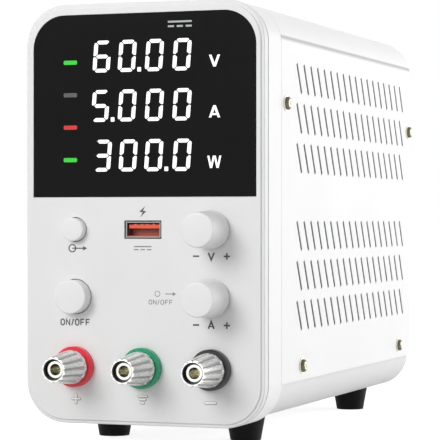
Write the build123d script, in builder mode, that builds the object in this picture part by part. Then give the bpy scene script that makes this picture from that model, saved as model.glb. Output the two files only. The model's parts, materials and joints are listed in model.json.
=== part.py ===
from build123d import *
import os

# Bench power supply. Millimetres. X runs right seen from the front, Y runs from front to rear, Z runs up.
# The origin is under the middle of the whole object, on the surface that the feet stand on.

os.makedirs("parts", exist_ok=True)

# Casing
body_width = 90.8
body_height = 150.0
body_depth = 197.0
corner_radius = 15.0
sheet_gap = 0.1
seam_gap = 0.3

# Front panel moulding
panel_wall = 2.5
rim_step = 0.6
rim_inset = 1.2
rim_fillet = 0.45
panel_edge_depth = 4.0
groove_width = 1.0
groove_inset = 1.0
panel_spigot_length = 4.0
panel_spigot_wall = 2.0
fit_gap = 0.1

# Front frame
frame_length = 14.1
frame_wall = 2.5
frame_flange = 2.5
frame_spigot_length = 9.0
frame_spigot_wall = 2.0

# Sheet metal
cover_thickness = 1.2
cover_edge_height = 14.3
tray_thickness = 1.5
tray_flange_height = 30.0
rear_wall = 1.5
rear_flange_depth = 12.0
rear_recess = 0.6

# Side vents
vent_columns = 18
vent_rows = 3
vent_width = 1.7
vent_lean = 27.4
vent_front_margin = 39.74
vent_rear_margin = 15.14
vent_bottom_margin = 38.0
vent_top_margin = 25.7
vent_group_gap = 13.8
vent_row_gap = 2.5

# Readout window
window_side = 3.0
window_top_gap = 3.9
window_bottom = 81.0
window_thickness = 1.5
window_sunk = 0.1
readout_side = 10.9
readout_edge = 3.05
module_width = 42.0
module_edge = 3.1
module_row_gap = 0.6
module_thickness = 8.0
module_x = -0.4

# Front control grid
column_side = 19.4
upper_row_drop = 11.6
lower_row_rise = 0.5
post_row = 20.4
press_gap = 0.3

# Knobs and encoders
knob_length = 14.2
knob_base_radius = 6.8
knob_tip_radius = 6.1
knob_gap = 0.8
knob_edge = 0.5
knob_skirt = 1.2
shaft_radius = 2.95
shaft_fit = 0.05
shaft_hole_radius = 3.7
shaft_in_knob = 10.0
encoder_size = 12.0
encoder_height = 6.6
bushing_radius = 3.5
bushing_length = 1.2
push_rod_radius = 2.6
push_rod_length = 1.0
knob_travel = 0.5
switch_room = 1.0

# Push buttons
output_radius = 4.15
output_reach = 2.9
output_travel = 0.6
power_radius = 6.05
power_reach = 5.1
power_travel = 3.0
button_edge = 0.5
button_flange = 1.0
button_flange_rim = 1.2
output_stem_radius = 1.7
output_switch_size = 6.2
output_switch_height = 3.5
output_stem_grip = 1.2
power_stem_radius = 3.0
power_switch_size = 14.0
power_switch_length = 18.0
plunger_length = 3.0

# Outlet for charging
usb_cutout_width = 14.2
usb_cutout_height = 6.5
usb_shell_width = 13.2
usb_shell_height = 5.7
usb_shell_wall = 0.4
usb_shell_sunk = 0.4
usb_tongue_width = 11.1
usb_tongue_height = 1.8
usb_tongue_rise = 1.1
usb_tongue_sunk = 1.6

# Binding posts
collar_radius = 7.25
collar_height = 3.0
collar_edge = 0.5
collar_neck_radius = 5.0
collar_neck_flat = 8.4
washer_radius = 4.6
washer_thickness = 0.5
stud_radius = 2.95
socket_radius = 2.05
socket_length = 19.0
stud_tail_radius = 2.0
stud_tail_length = 13.0
wire_hole_radius = 1.1
post_reach = 19.2
socket_sunk = 1.8
cap_rear_radius = 6.05
cap_front_radius = 4.5
cap_bore_fit = 0.05
cap_well_radius = 3.65
cap_well_depth = 5.0
cap_skirt_length = 1.4
cap_flutes = 12
flute_radius = 0.95
flute_depth = 0.45
slip_gap = 0.05
insulator_radius = 6.5
insulator_thickness = 3.0
nut_across_flats = 7.0
nut_thickness = 3.2

# Control board and its screws
board_thickness = 1.6
control_board_side = 5.4
control_board_bottom = 33.0
control_board_top_gap = 7.0
control_board_corner_gap = 1.0
boss_radius = 3.5
pilot_radius = 1.25
tapping_screw_radius = 1.15
tapping_screw_length = 8.0
tapping_head_radius = 2.7
tapping_head_height = 1.8
corner_boss_side = 9.9
corner_boss_inset = 10.0
board_boss_side = 9.4
board_boss_bottom = 38.0
board_boss_top_gap = 28.0
lug_radius = 5.0

# Casing screws
shank_sides = 8
hidden_head_sides = 12
casing_head_radius = 2.9
casing_head_height = 1.7
casing_head_top_radius = 1.75
casing_screw_radius = 1.45
casing_screw_length = 6.0
thread_gap = 0.1
frame_screw_inset = 5.1
frame_screw_drop = 35.5
low_screw_front = 42.5
low_screw_rear_gap = 20.0
low_screw_height = 19.6
rear_screw_inset = 4.0
rear_screw_drop = 39.3
tray_screw_side = 28.4
tray_screw_inset = 5.0

# Feet
foot_height = 8.8
foot_top_radius = 7.2
foot_bottom_radius = 5.6
foot_side = 19.4
foot_front = 36.0
foot_rear_gap = 26.2
foot_recess_radius = 3.4
foot_recess_depth = 4.5
foot_screw_radius = 1.6
foot_screw_length = 6.5

# Fan
fan_size = 60.0
fan_thickness = 15.0
fan_bore_radius = 28.6
fan_corner = 4.0
fan_top_gap = 46.0
fan_hole_spacing = 50.0
fan_hole_radius = 2.2
fan_screw_radius = 2.0
fan_screw_length = 9.0
fan_head_radius = 3.3
fan_head_height = 1.8
rotor_radius = 27.8
hub_radius = 13.0
hub_length = 10.0
hub_wall = 1.2
blade_count = 7
blade_thickness = 1.3
blade_chord = 10.5
blade_pitch = 38.0
strut_thickness = 2.2
strut_width = 3.0
motor_radius = 10.0
bearing_radius = 3.0
axle_radius = 1.5
guard_thickness = 1.5
guard_wire = 1.5
guard_rings = (7.0, 14.0, 21.0, 28.0)
guard_eye_radius = 4.2

# Mains inlet and fuse drawer
inlet_x = 17.0
inlet_height = 32.0
inlet_flange_width = 33.0
inlet_flange_height = 37.0
inlet_flange_thickness = 2.2
inlet_corner = 2.5
inlet_body_width = 28.0
inlet_body_height = 32.0
inlet_body_depth = 22.0
socket_width = 24.4
socket_height = 16.4
socket_chamfer = 4.5
socket_depth = 16.0
socket_rise = 6.5
pin_spacing = 7.0
pin_offset = 2.0
pin_width = 2.0
pin_height = 4.0
pin_length = 13.5
pin_edge = 0.5
drawer_width = 23.4
drawer_height = 7.4
drawer_depth = 15.0
drawer_drop = 10.6
drawer_gap = 0.3
drawer_lip = 1.2
drawer_lip_thickness = 1.6
drawer_floor = 0.8
fuse_radius = 2.6
fuse_length = 20.0
fuse_cap_length = 5.0
fuse_cap_step = 0.2

# Mains voltage selector
selector_side = 21.4
selector_height = 32.0
selector_flange_width = 24.0
selector_flange_height = 12.0
selector_flange_thickness = 1.4
selector_body_width = 20.0
selector_body_height = 9.0
selector_body_depth = 9.0
slider_width = 6.0
slider_height = 5.4
slider_depth = 4.0
slider_reach = 0.8
slider_travel = 5.0
slider_groove = 0.8

# Main board and what stands on it
main_board_side = 7.4
main_board_front_gap = 9.9
main_board_rear_gap = 31.0
standoff_height = 6.0
standoff_radius = 3.0
standoff_side = 11.0
standoff_inset = 6.0
core_side_gap = 7.0
core_length = 16.0
core_height = 30.0
core_legs_across = 6
core_choke_gap = 1.5
winding_length = 26.0
winding_gap = 0.3
winding_corner = 3.0
capacitor_radius = 11.0
capacitor_height = 34.0
capacitor_spacing = 25.0
capacitor_rear_gap = 9.0
choke_outer_radius = 13.0
choke_inner_radius = 6.0
choke_height = 12.0
choke_front_gap = 1.5
sink_edge = 2.0
sink_plate = 3.0
sink_height = 56.0
sink_fin_length = 8.0
sink_fin = 1.6
sink_fin_count = 6
sink_lead = 4.0
sink_rear_gap = 36.0

# Places and sizes worked out from the sizes above
half_width = body_width / 2
vent_pitch = (body_depth - vent_front_margin - vent_rear_margin) / (vent_columns - 1)
vent_row_room = body_height - vent_bottom_margin - vent_top_margin - vent_group_gap
vent_row_pitch = vent_row_room / (2 * vent_rows - 1)
vent_length = vent_row_pitch - vent_row_gap
vent_centre_depth = (vent_front_margin + body_depth - vent_rear_margin) / 2
vent_group_reach = vent_row_pitch * (vent_rows - 1) / 2
lower_vents_height = vent_bottom_margin + vent_group_reach
upper_vents_height = body_height - vent_top_margin - vent_group_reach
window_width = body_width - 2 * window_side
window_height = body_height - window_top_gap - window_bottom
window_corner = corner_radius - window_side
readout_width = window_width - 2 * readout_side
readout_height = window_height - 2 * readout_edge
module_pitch = (readout_height - 2 * module_edge) / 3
module_height = module_pitch - module_row_gap
column_x = half_width - column_side
upper_row = window_bottom - upper_row_drop
lower_row = (upper_row + post_row) / 2 + lower_row_rise
control_board_width = body_width - 2 * control_board_side
control_board_top = body_height - control_board_top_gap
control_board_cut = corner_radius - control_board_corner_gap
corner_boss_x = half_width - corner_boss_side
board_boss_x = half_width - board_boss_side
board_boss_heights = (board_boss_bottom, body_height - board_boss_top_gap)
tray_screw_x = half_width - tray_screw_side
foot_x = half_width - foot_side
foot_depths = (foot_front, body_depth - foot_rear_gap)
fan_height = body_height - fan_top_gap
selector_x = selector_side - half_width
main_board_width = body_width - 2 * main_board_side
main_board_rear = body_depth - main_board_rear_gap
standoff_x = main_board_width / 2 - standoff_side
sink_x = main_board_width / 2 - sink_edge - sink_fin_length - sink_plate
core_width = 2 * (sink_x - core_side_gap)
core_leg = core_width / core_legs_across
tray_inset = cover_thickness + sheet_gap
lining_inset = tray_inset + tray_thickness + sheet_gap
base_z = foot_height - tray_inset
tray_floor = tray_inset + tray_thickness
frame_front = panel_edge_depth + groove_width
frame_rear = frame_front + frame_length
cover_front = frame_rear + seam_gap
main_board_front = frame_rear + frame_spigot_length + main_board_front_gap
choke_depth = main_board_front + choke_front_gap + choke_outer_radius
core_depth = choke_depth + choke_outer_radius + core_choke_gap + winding_length / 2
capacitor_depth = main_board_rear - capacitor_rear_gap - capacitor_radius
sink_front = core_depth - core_length / 2 - sink_lead
sink_length = main_board_rear - sink_rear_gap - sink_front
side_screws = (
    (frame_rear + frame_screw_inset, body_height - frame_screw_drop),
    (low_screw_front, low_screw_height),
    (body_depth - low_screw_rear_gap, low_screw_height),
    (body_depth - rear_screw_inset, body_height - rear_screw_drop),
)
panel_spigot_inset = frame_wall + fit_gap
panel_hollow_inset = panel_spigot_inset + panel_spigot_wall
rear_face = body_depth - rear_recess
rear_inner = rear_face - rear_wall
module_front = panel_wall + fit_gap
board_front = module_front + module_thickness
board_rear = board_front + board_thickness
rear_reach = max(
    rear_face + guard_thickness + fan_head_height,
    rear_face + inlet_flange_thickness + drawer_lip_thickness,
) - body_depth
front_y = -(body_depth + rear_reach - post_reach) / 2
main_board_bottom = tray_floor + standoff_height
main_board_top = main_board_bottom + board_thickness
corner_bosses = [
    (side * corner_boss_x, height)
    for side in (-1, 1)
    for height in (corner_boss_inset, body_height - corner_boss_inset)
]
board_bosses = [(side * board_boss_x, height) for side in (-1, 1) for height in board_boss_heights]
fan_holes = [
    (side * fan_hole_spacing / 2, fan_height + end * fan_hole_spacing / 2)
    for side in (-1, 1)
    for end in (-1, 1)
]
tray_screws_front = [(side * tray_screw_x, frame_rear + tray_screw_inset) for side in (-1, 1)]
tray_screws_rear = [(side * tray_screw_x, body_depth - tray_screw_inset) for side in (-1, 1)]
foot_points = [(side * foot_x, depth) for side in (-1, 1) for depth in foot_depths]
standoff_points = [
    (side * standoff_x, depth)
    for side in (-1, 1)
    for depth in (main_board_front + standoff_inset, main_board_rear - standoff_inset)
]
on_floor = (Align.CENTER, Align.CENTER, Align.MIN)
hung_down = (Align.CENTER, Align.CENTER, Align.MAX)


def upright(depth):
    """Upright sketch plane this far behind the front face, with y up from the body's base."""
    return Plane(origin=(0, front_y + depth, base_z), x_dir=(1, 0, 0), z_dir=(0, -1, 0))


def level(height):
    """Level sketch plane this far above the body's base, with y running to the rear from the front face."""
    return Plane(origin=(0, front_y, base_z + height), x_dir=(1, 0, 0), z_dir=(0, 0, 1))


def turning(x, height):
    """Level sketch plane through a front-to-rear axis, with x as the radius and y as the depth."""
    return Plane(origin=(x, front_y, base_z + height), x_dir=(1, 0, 0), z_dir=(0, 0, 1))


def turning_axis(x, height):
    """The front-to-rear axis that belongs to turning(x, height)."""
    return Axis((x, front_y, base_z + height), (0, 1, 0))


side_view = Plane(origin=(half_width, front_y, base_z), x_dir=(0, 1, 0), z_dir=(1, 0, 0))


def body_outline(inset, mode=Mode.ADD):
    """The casing's rounded outline, moved inwards by the inset."""
    with Locations((0, body_height / 2)):
        RectangleRounded(
            body_width - 2 * inset,
            body_height - 2 * inset,
            corner_radius - inset,
            mode=mode,
        )


def lining_outline():
    """Outline that fits inside the cover and, lower down, inside the tray's side flanges."""
    tray_top = tray_flange_height + sheet_gap
    body_outline(tray_inset)
    with Locations((0, tray_top / 2)):
        Rectangle(body_width, tray_top, mode=Mode.SUBTRACT)
    body_outline(lining_inset)


def fluted_outline(radius):
    """Round outline with shallow flutes cut into its edge."""
    Circle(radius)
    with PolarLocations(radius + flute_radius - flute_depth, cap_flutes):
        Circle(flute_radius, mode=Mode.SUBTRACT)


# Front panel: a stepped moulding with a spigot that plugs into the frame
with BuildPart() as front_panel:
    with BuildSketch(upright(rim_step)):
        body_outline(0)
    extrude(amount=rim_step - panel_edge_depth)
    fillet(front_panel.edges().group_by(Axis.Y)[0], rim_fillet)
    with BuildSketch(upright(0)):
        body_outline(rim_inset)
    extrude(amount=-rim_step)
    fillet(front_panel.edges().group_by(Axis.Y)[0], rim_fillet)
    with BuildSketch(upright(panel_edge_depth)):
        body_outline(groove_inset)
    extrude(amount=-groove_width)
    with BuildSketch(upright(frame_front)):
        body_outline(panel_spigot_inset)
    extrude(amount=-panel_spigot_length)
    with BuildSketch(upright(panel_wall)):
        body_outline(panel_hollow_inset)
    extrude(amount=-(frame_front + panel_spigot_length - panel_wall), mode=Mode.SUBTRACT)
    with BuildSketch(upright(panel_wall)):
        with Locations(*corner_bosses):
            Circle(boss_radius)
    extrude(amount=-(frame_rear - frame_flange - fit_gap - panel_wall))
    with BuildSketch(upright(panel_wall)):
        with Locations(*board_bosses):
            Circle(boss_radius)
    extrude(amount=-(board_front - panel_wall))
    with BuildSketch(upright(panel_wall)):
        with Locations(*corner_bosses, *board_bosses):
            Circle(pilot_radius)
    extrude(amount=-frame_rear, mode=Mode.SUBTRACT)
    with BuildSketch(upright(0)) as window_recess:
        with Locations((0, window_bottom + window_height / 2)):
            Rectangle(window_width + 2 * fit_gap, window_height + 2 * fit_gap)
        fillet(window_recess.vertices().group_by(Axis.Y)[-1], window_corner + fit_gap)
    extrude(amount=-(window_sunk + window_thickness), mode=Mode.SUBTRACT)
    with BuildSketch(upright(0)):
        with Locations((0, window_bottom + window_height / 2)):
            Rectangle(readout_width, readout_height)
        with Locations((-column_x, upper_row)):
            Circle(output_radius + press_gap)
        with Locations((-column_x, lower_row)):
            Circle(power_radius + press_gap)
        with Locations((column_x, upper_row), (column_x, lower_row)):
            Circle(shaft_hole_radius)
        with Locations((0, upper_row)):
            Rectangle(usb_cutout_width, usb_cutout_height)
    extrude(amount=-panel_wall, mode=Mode.SUBTRACT)
    with BuildSketch(upright(0)):
        with Locations((-column_x, post_row), (0, post_row), (column_x, post_row)):
            Circle(collar_neck_radius + fit_gap)
        with Locations((0, post_row)):
            Rectangle(body_width, collar_neck_flat + 2 * fit_gap, mode=Mode.INTERSECT)
    extrude(amount=-panel_wall, mode=Mode.SUBTRACT)
front_panel.part.label = "front_panel"
export_step(front_panel.part, "parts/front_panel.step")

# Front frame: the white ring, with an inner flange, corner lugs and a spigot that lines cover and tray
with BuildPart() as front_frame:
    with BuildSketch(upright(frame_front)):
        body_outline(0)
        body_outline(frame_wall, mode=Mode.SUBTRACT)
    extrude(amount=-frame_length)
    with BuildSketch(upright(frame_rear)):
        body_outline(frame_wall / 2)
        body_outline(lining_inset + frame_spigot_wall, mode=Mode.SUBTRACT)
        with Locations(*corner_bosses):
            Circle(lug_radius)
            Circle(casing_screw_radius + thread_gap, mode=Mode.SUBTRACT)
    extrude(amount=frame_flange)
    with BuildSketch(upright(frame_rear)):
        lining_outline()
        offset(amount=-frame_spigot_wall, mode=Mode.SUBTRACT)
    extrude(amount=-frame_spigot_length)
    with BuildSketch(side_view):
        with Locations(side_screws[0]):
            Circle(casing_screw_radius + thread_gap)
    extrude(amount=-body_width, mode=Mode.SUBTRACT)
    with BuildSketch(level(0)):
        with Locations(*tray_screws_front):
            Circle(casing_screw_radius + thread_gap)
    extrude(amount=lining_inset + frame_spigot_wall, mode=Mode.SUBTRACT)
front_frame.part.label = "front_frame"
export_step(front_frame.part, "parts/front_frame.step")

# Display window: black plate that closes the readout opening
with BuildPart() as display_window:
    with BuildSketch(upright(window_sunk)) as window_outline:
        with Locations((0, window_bottom + window_height / 2)):
            Rectangle(window_width, window_height)
        fillet(window_outline.vertices().group_by(Axis.Y)[-1], window_corner)
    extrude(amount=-window_thickness)
display_window.part.label = "display_window"
export_step(display_window.part, "parts/display_window.step")

# Top cover: top and both sides in one wrapped sheet with slanted vents
with BuildPart() as top_cover:
    with BuildSketch(upright(cover_front)):
        body_outline(0)
        body_outline(cover_thickness, mode=Mode.SUBTRACT)
        with Locations((0, cover_edge_height / 2)):
            Rectangle(body_width, cover_edge_height, mode=Mode.SUBTRACT)
    extrude(amount=cover_front - body_depth)
    with BuildSketch(side_view):
        with Locations((vent_centre_depth, upper_vents_height), (vent_centre_depth, lower_vents_height)):
            with GridLocations(vent_pitch, vent_row_pitch, vent_columns, vent_rows):
                Rectangle(vent_width, vent_length, rotation=vent_lean)
        with Locations(*side_screws):
            Circle(casing_screw_radius + thread_gap)
    extrude(amount=-body_width, mode=Mode.SUBTRACT)
top_cover.part.label = "top_cover"
export_step(top_cover.part, "parts/top_cover.step")

# Bottom tray: rolled lower corners and side flanges inside the cover
with BuildPart() as bottom_chassis:
    with BuildSketch(upright(cover_front)):
        body_outline(tray_inset)
        body_outline(tray_inset + tray_thickness, mode=Mode.SUBTRACT)
        with Locations((0, (tray_flange_height + body_height) / 2)):
            Rectangle(body_width, body_height - tray_flange_height, mode=Mode.SUBTRACT)
    extrude(amount=cover_front - body_depth)
    with BuildSketch(side_view):
        with Locations(side_screws[1], side_screws[2]):
            Circle(casing_screw_radius + thread_gap)
    extrude(amount=-body_width, mode=Mode.SUBTRACT)
    with BuildSketch(level(0)):
        with Locations(*tray_screws_front, *tray_screws_rear):
            Circle(casing_screw_radius + thread_gap)
        with Locations(*foot_points):
            Circle(foot_screw_radius + thread_gap)
    extrude(amount=tray_floor, mode=Mode.SUBTRACT)
bottom_chassis.part.label = "bottom_chassis"
export_step(bottom_chassis.part, "parts/bottom_chassis.step")

# Rear panel: a pressed pan with openings for fan, mains inlet and voltage selector
with BuildPart() as rear_panel:
    with BuildSketch(upright(rear_face)):
        lining_outline()
    extrude(amount=rear_flange_depth)
    with BuildSketch(upright(rear_inner)):
        lining_outline()
        offset(amount=-rear_wall, mode=Mode.REPLACE)
    extrude(amount=rear_flange_depth, mode=Mode.SUBTRACT)
    with BuildSketch(upright(rear_face)):
        with Locations((0, fan_height)):
            Circle(fan_bore_radius)
        with Locations(*fan_holes):
            Circle(fan_hole_radius)
        with Locations((inlet_x, inlet_height)):
            Rectangle(inlet_body_width + 2 * fit_gap, inlet_body_height + 2 * fit_gap)
        with Locations((selector_x, selector_height)):
            Rectangle(selector_body_width + 2 * fit_gap, selector_body_height + 2 * fit_gap)
    extrude(amount=rear_wall, mode=Mode.SUBTRACT)
    with BuildSketch(side_view):
        with Locations(side_screws[3]):
            Circle(casing_screw_radius + thread_gap)
    extrude(amount=-body_width, mode=Mode.SUBTRACT)
    with BuildSketch(level(0)):
        with Locations(*tray_screws_rear):
            Circle(casing_screw_radius + thread_gap)
    extrude(amount=lining_inset + rear_wall, mode=Mode.SUBTRACT)
rear_panel.part.label = "rear_panel"
export_step(rear_panel.part, "parts/rear_panel.step")

# Rubber feet with a screw recess
with BuildPart() as rubber_feet:
    with Locations(*[(x, front_y + depth, 0) for x, depth in foot_points]):
        Cone(foot_bottom_radius, foot_top_radius, foot_height, align=on_floor)
        Cylinder(foot_recess_radius, foot_recess_depth, align=on_floor, mode=Mode.SUBTRACT)
        Cylinder(foot_screw_radius + thread_gap, foot_height, align=on_floor, mode=Mode.SUBTRACT)
rubber_feet.part.label = "rubber_feet"
export_step(rubber_feet.part, "parts/rubber_feet.step")

with BuildPart() as foot_screws:
    with Locations(*[(x, front_y + depth, foot_recess_depth) for x, depth in foot_points]):
        Cylinder(casing_head_radius, casing_head_height, align=hung_down)
    with BuildSketch(level(foot_recess_depth - base_z)):
        with Locations(*foot_points):
            RegularPolygon(foot_screw_radius, shank_sides)
    extrude(amount=foot_screw_length)
foot_screws.part.label = "foot_screws"
export_step(foot_screws.part, "parts/foot_screws.step")

# Casing screws: pan heads on the cover's sides, under the tray and on the main board
casing_screw_places = [
    Plane(
        origin=(side * half_width, front_y + depth, base_z + height),
        x_dir=(0, 1, 0),
        z_dir=(side, 0, 0),
    )
    for depth, height in side_screws
    for side in (-1, 1)
]
casing_screw_places += [
    Plane(origin=(x, front_y + depth, base_z + tray_inset), x_dir=(1, 0, 0), z_dir=(0, 0, -1))
    for x, depth in tray_screws_front + tray_screws_rear
]
casing_screw_places += [
    Plane(origin=(x, front_y + depth, base_z + main_board_top), x_dir=(1, 0, 0), z_dir=(0, 0, 1))
    for x, depth in standoff_points
]
with BuildPart() as casing_screws:
    with Locations(*casing_screw_places):
        Cone(casing_head_radius, casing_head_top_radius, casing_head_height, align=on_floor)
    with BuildSketch(*casing_screw_places):
        RegularPolygon(casing_screw_radius, shank_sides)
    extrude(amount=-casing_screw_length)
casing_screws.part.label = "casing_screws"
export_step(casing_screws.part, "parts/casing_screws.step")

# Self-tapping screws: frame to panel at the corners, and control board to panel
with BuildPart() as housing_screws:
    for points, seat in ((corner_bosses, frame_rear), (board_bosses, board_rear)):
        with BuildSketch(upright(seat)):
            with Locations(*points):
                RegularPolygon(tapping_screw_radius, shank_sides)
        extrude(amount=tapping_screw_length)
        with BuildSketch(upright(seat)):
            with Locations(*points):
                RegularPolygon(tapping_head_radius, hidden_head_sides)
        extrude(amount=-tapping_head_height)
housing_screws.part.label = "housing_screws"
export_step(housing_screws.part, "parts/housing_screws.step")

# Voltage and current controls: knob, shaft, encoder and the push rod inside it
rod_front = board_front - push_rod_length - switch_room
shaft_front = -(knob_gap + shaft_in_knob)
encoder_front = board_front - encoder_height
for name, height in (("voltage", upper_row), ("current", lower_row)):
    with BuildPart() as knob:
        with BuildSketch(turning(column_x, height)):
            with BuildLine():
                Polyline(
                    (0, -knob_gap - knob_length),
                    (knob_tip_radius, -knob_gap - knob_length),
                    (knob_base_radius, -knob_gap),
                    (0, -knob_gap),
                    close=True,
                )
            make_face()
        revolve(axis=turning_axis(column_x, height))
        chamfer(knob.edges().group_by(Axis.Y)[0], knob_edge)
        with BuildSketch(upright(-knob_gap)):
            with Locations((column_x, height)):
                Circle(knob_base_radius - knob_skirt)
        extrude(amount=knob_skirt, mode=Mode.SUBTRACT)
        with BuildSketch(upright(-knob_gap)):
            with Locations((column_x, height)):
                Circle(shaft_radius + knob_skirt)
                Circle(shaft_radius, mode=Mode.SUBTRACT)
        extrude(amount=knob_skirt)
        with BuildSketch(upright(-knob_gap)):
            with Locations((column_x, height)):
                Circle(shaft_radius)
        extrude(amount=shaft_in_knob, mode=Mode.SUBTRACT)
    knob.part.label = f"{name}_knob"
    export_step(knob.part, f"parts/{name}_knob.step")

    with BuildPart() as shaft:
        with BuildSketch(upright(shaft_front)):
            with Locations((column_x, height)):
                Circle(shaft_radius)
        extrude(amount=shaft_front - rod_front + slip_gap)
    shaft.part.label = f"{name}_shaft"
    export_step(shaft.part, f"parts/{name}_shaft.step")

    with BuildPart() as encoder:
        with BuildSketch(upright(encoder_front)):
            with Locations((column_x, height)):
                Rectangle(encoder_size, encoder_size)
        extrude(amount=-encoder_height)
        chamfer(encoder.edges().filter_by(Axis.Y), knob_edge)
        with BuildSketch(upright(encoder_front)):
            with Locations((column_x, height)):
                Circle(bushing_radius)
        extrude(amount=bushing_length)
        with BuildSketch(upright(encoder_front - bushing_length)):
            with Locations((column_x, height)):
                Circle(shaft_radius + shaft_fit)
        extrude(amount=-(encoder_height + bushing_length - knob_travel / 2), mode=Mode.SUBTRACT)
    encoder.part.label = f"{name}_encoder"
    export_step(encoder.part, f"parts/{name}_encoder.step")

    with BuildPart() as push_rod:
        with BuildSketch(upright(rod_front)):
            with Locations((column_x, height)):
                Circle(push_rod_radius)
        extrude(amount=-push_rod_length)
    push_rod.part.label = f"{name}_push_rod"
    export_step(push_rod.part, f"parts/{name}_push_rod.step")

# Output button: cap, flange and stem on a small board switch
output_switch_front = board_front - output_switch_height
with BuildPart() as output_button:
    with BuildSketch(upright(-output_reach)):
        with Locations((-column_x, upper_row)):
            Circle(output_radius)
    extrude(amount=-(output_reach + panel_wall + press_gap))
    chamfer(output_button.edges().group_by(Axis.Y)[0], button_edge)
    with BuildSketch(upright(panel_wall + press_gap)):
        with Locations((-column_x, upper_row)):
            Circle(output_radius + button_flange_rim)
    extrude(amount=-button_flange)
    with BuildSketch(upright(panel_wall + press_gap + button_flange)):
        with Locations((-column_x, upper_row)):
            Circle(output_stem_radius)
    extrude(amount=-(output_switch_front + output_stem_grip - panel_wall - press_gap - button_flange))
output_button.part.label = "output_button"
export_step(output_button.part, "parts/output_button.step")

with BuildPart() as output_switch:
    with BuildSketch(upright(output_switch_front)):
        with Locations((-column_x, upper_row)):
            Rectangle(output_switch_size, output_switch_size)
    extrude(amount=-output_switch_height)
    chamfer(output_switch.edges().filter_by(Axis.Y), knob_edge)
    with BuildSketch(upright(output_switch_front)):
        with Locations((-column_x, upper_row)):
            Circle(output_stem_radius + press_gap)
    extrude(amount=-(output_stem_grip + output_travel + press_gap), mode=Mode.SUBTRACT)
output_switch.part.label = "output_switch"
export_step(output_switch.part, "parts/output_switch.step")

# Power button: a longer stroke, with its latching switch behind the control board
plunger_rear = board_rear + plunger_length
with BuildPart() as power_button:
    with BuildSketch(upright(-power_reach)):
        with Locations((-column_x, lower_row)):
            Circle(power_radius)
    extrude(amount=-(power_reach + panel_wall + press_gap))
    chamfer(power_button.edges().group_by(Axis.Y)[0], button_edge)
    with BuildSketch(upright(panel_wall + press_gap)):
        with Locations((-column_x, lower_row)):
            Circle(power_radius + button_flange_rim)
    extrude(amount=-button_flange)
power_button.part.label = "power_button"
export_step(power_button.part, "parts/power_button.step")

with BuildPart() as power_switch_plunger:
    with BuildSketch(upright(panel_wall + press_gap + button_flange)):
        with Locations((-column_x, lower_row)):
            Circle(power_stem_radius)
    extrude(amount=-(plunger_rear - panel_wall - press_gap - button_flange))
power_switch_plunger.part.label = "power_switch_plunger"
export_step(power_switch_plunger.part, "parts/power_switch_plunger.step")

with BuildPart() as power_switch:
    with BuildSketch(upright(board_rear)):
        with Locations((-column_x, lower_row)):
            RectangleRounded(power_switch_size, power_switch_size, knob_edge)
    extrude(amount=-power_switch_length)
    with BuildSketch(upright(board_rear)):
        with Locations((-column_x, lower_row)):
            Circle(power_stem_radius + press_gap)
    extrude(amount=-(plunger_length + power_travel + press_gap), mode=Mode.SUBTRACT)
power_switch.part.label = "power_switch"
export_step(power_switch.part, "parts/power_switch.step")

# Charging outlet: folded metal shell and the orange tongue inside it
with BuildPart() as usb_shell:
    with BuildSketch(upright(usb_shell_sunk)):
        with Locations((0, upper_row)):
            Rectangle(usb_shell_width, usb_shell_height)
            offset(amount=-usb_shell_wall, mode=Mode.SUBTRACT)
    extrude(amount=usb_shell_sunk - board_front)
usb_shell.part.label = "usb_shell"
export_step(usb_shell.part, "parts/usb_shell.step")

with BuildPart() as usb_tongue:
    with BuildSketch(upright(usb_tongue_sunk)):
        with Locations((0, upper_row + usb_tongue_rise)):
            Rectangle(usb_tongue_width, usb_tongue_height)
    extrude(amount=usb_tongue_sunk - board_front)
usb_tongue.part.label = "usb_tongue"
export_step(usb_tongue.part, "parts/usb_tongue.step")

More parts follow.
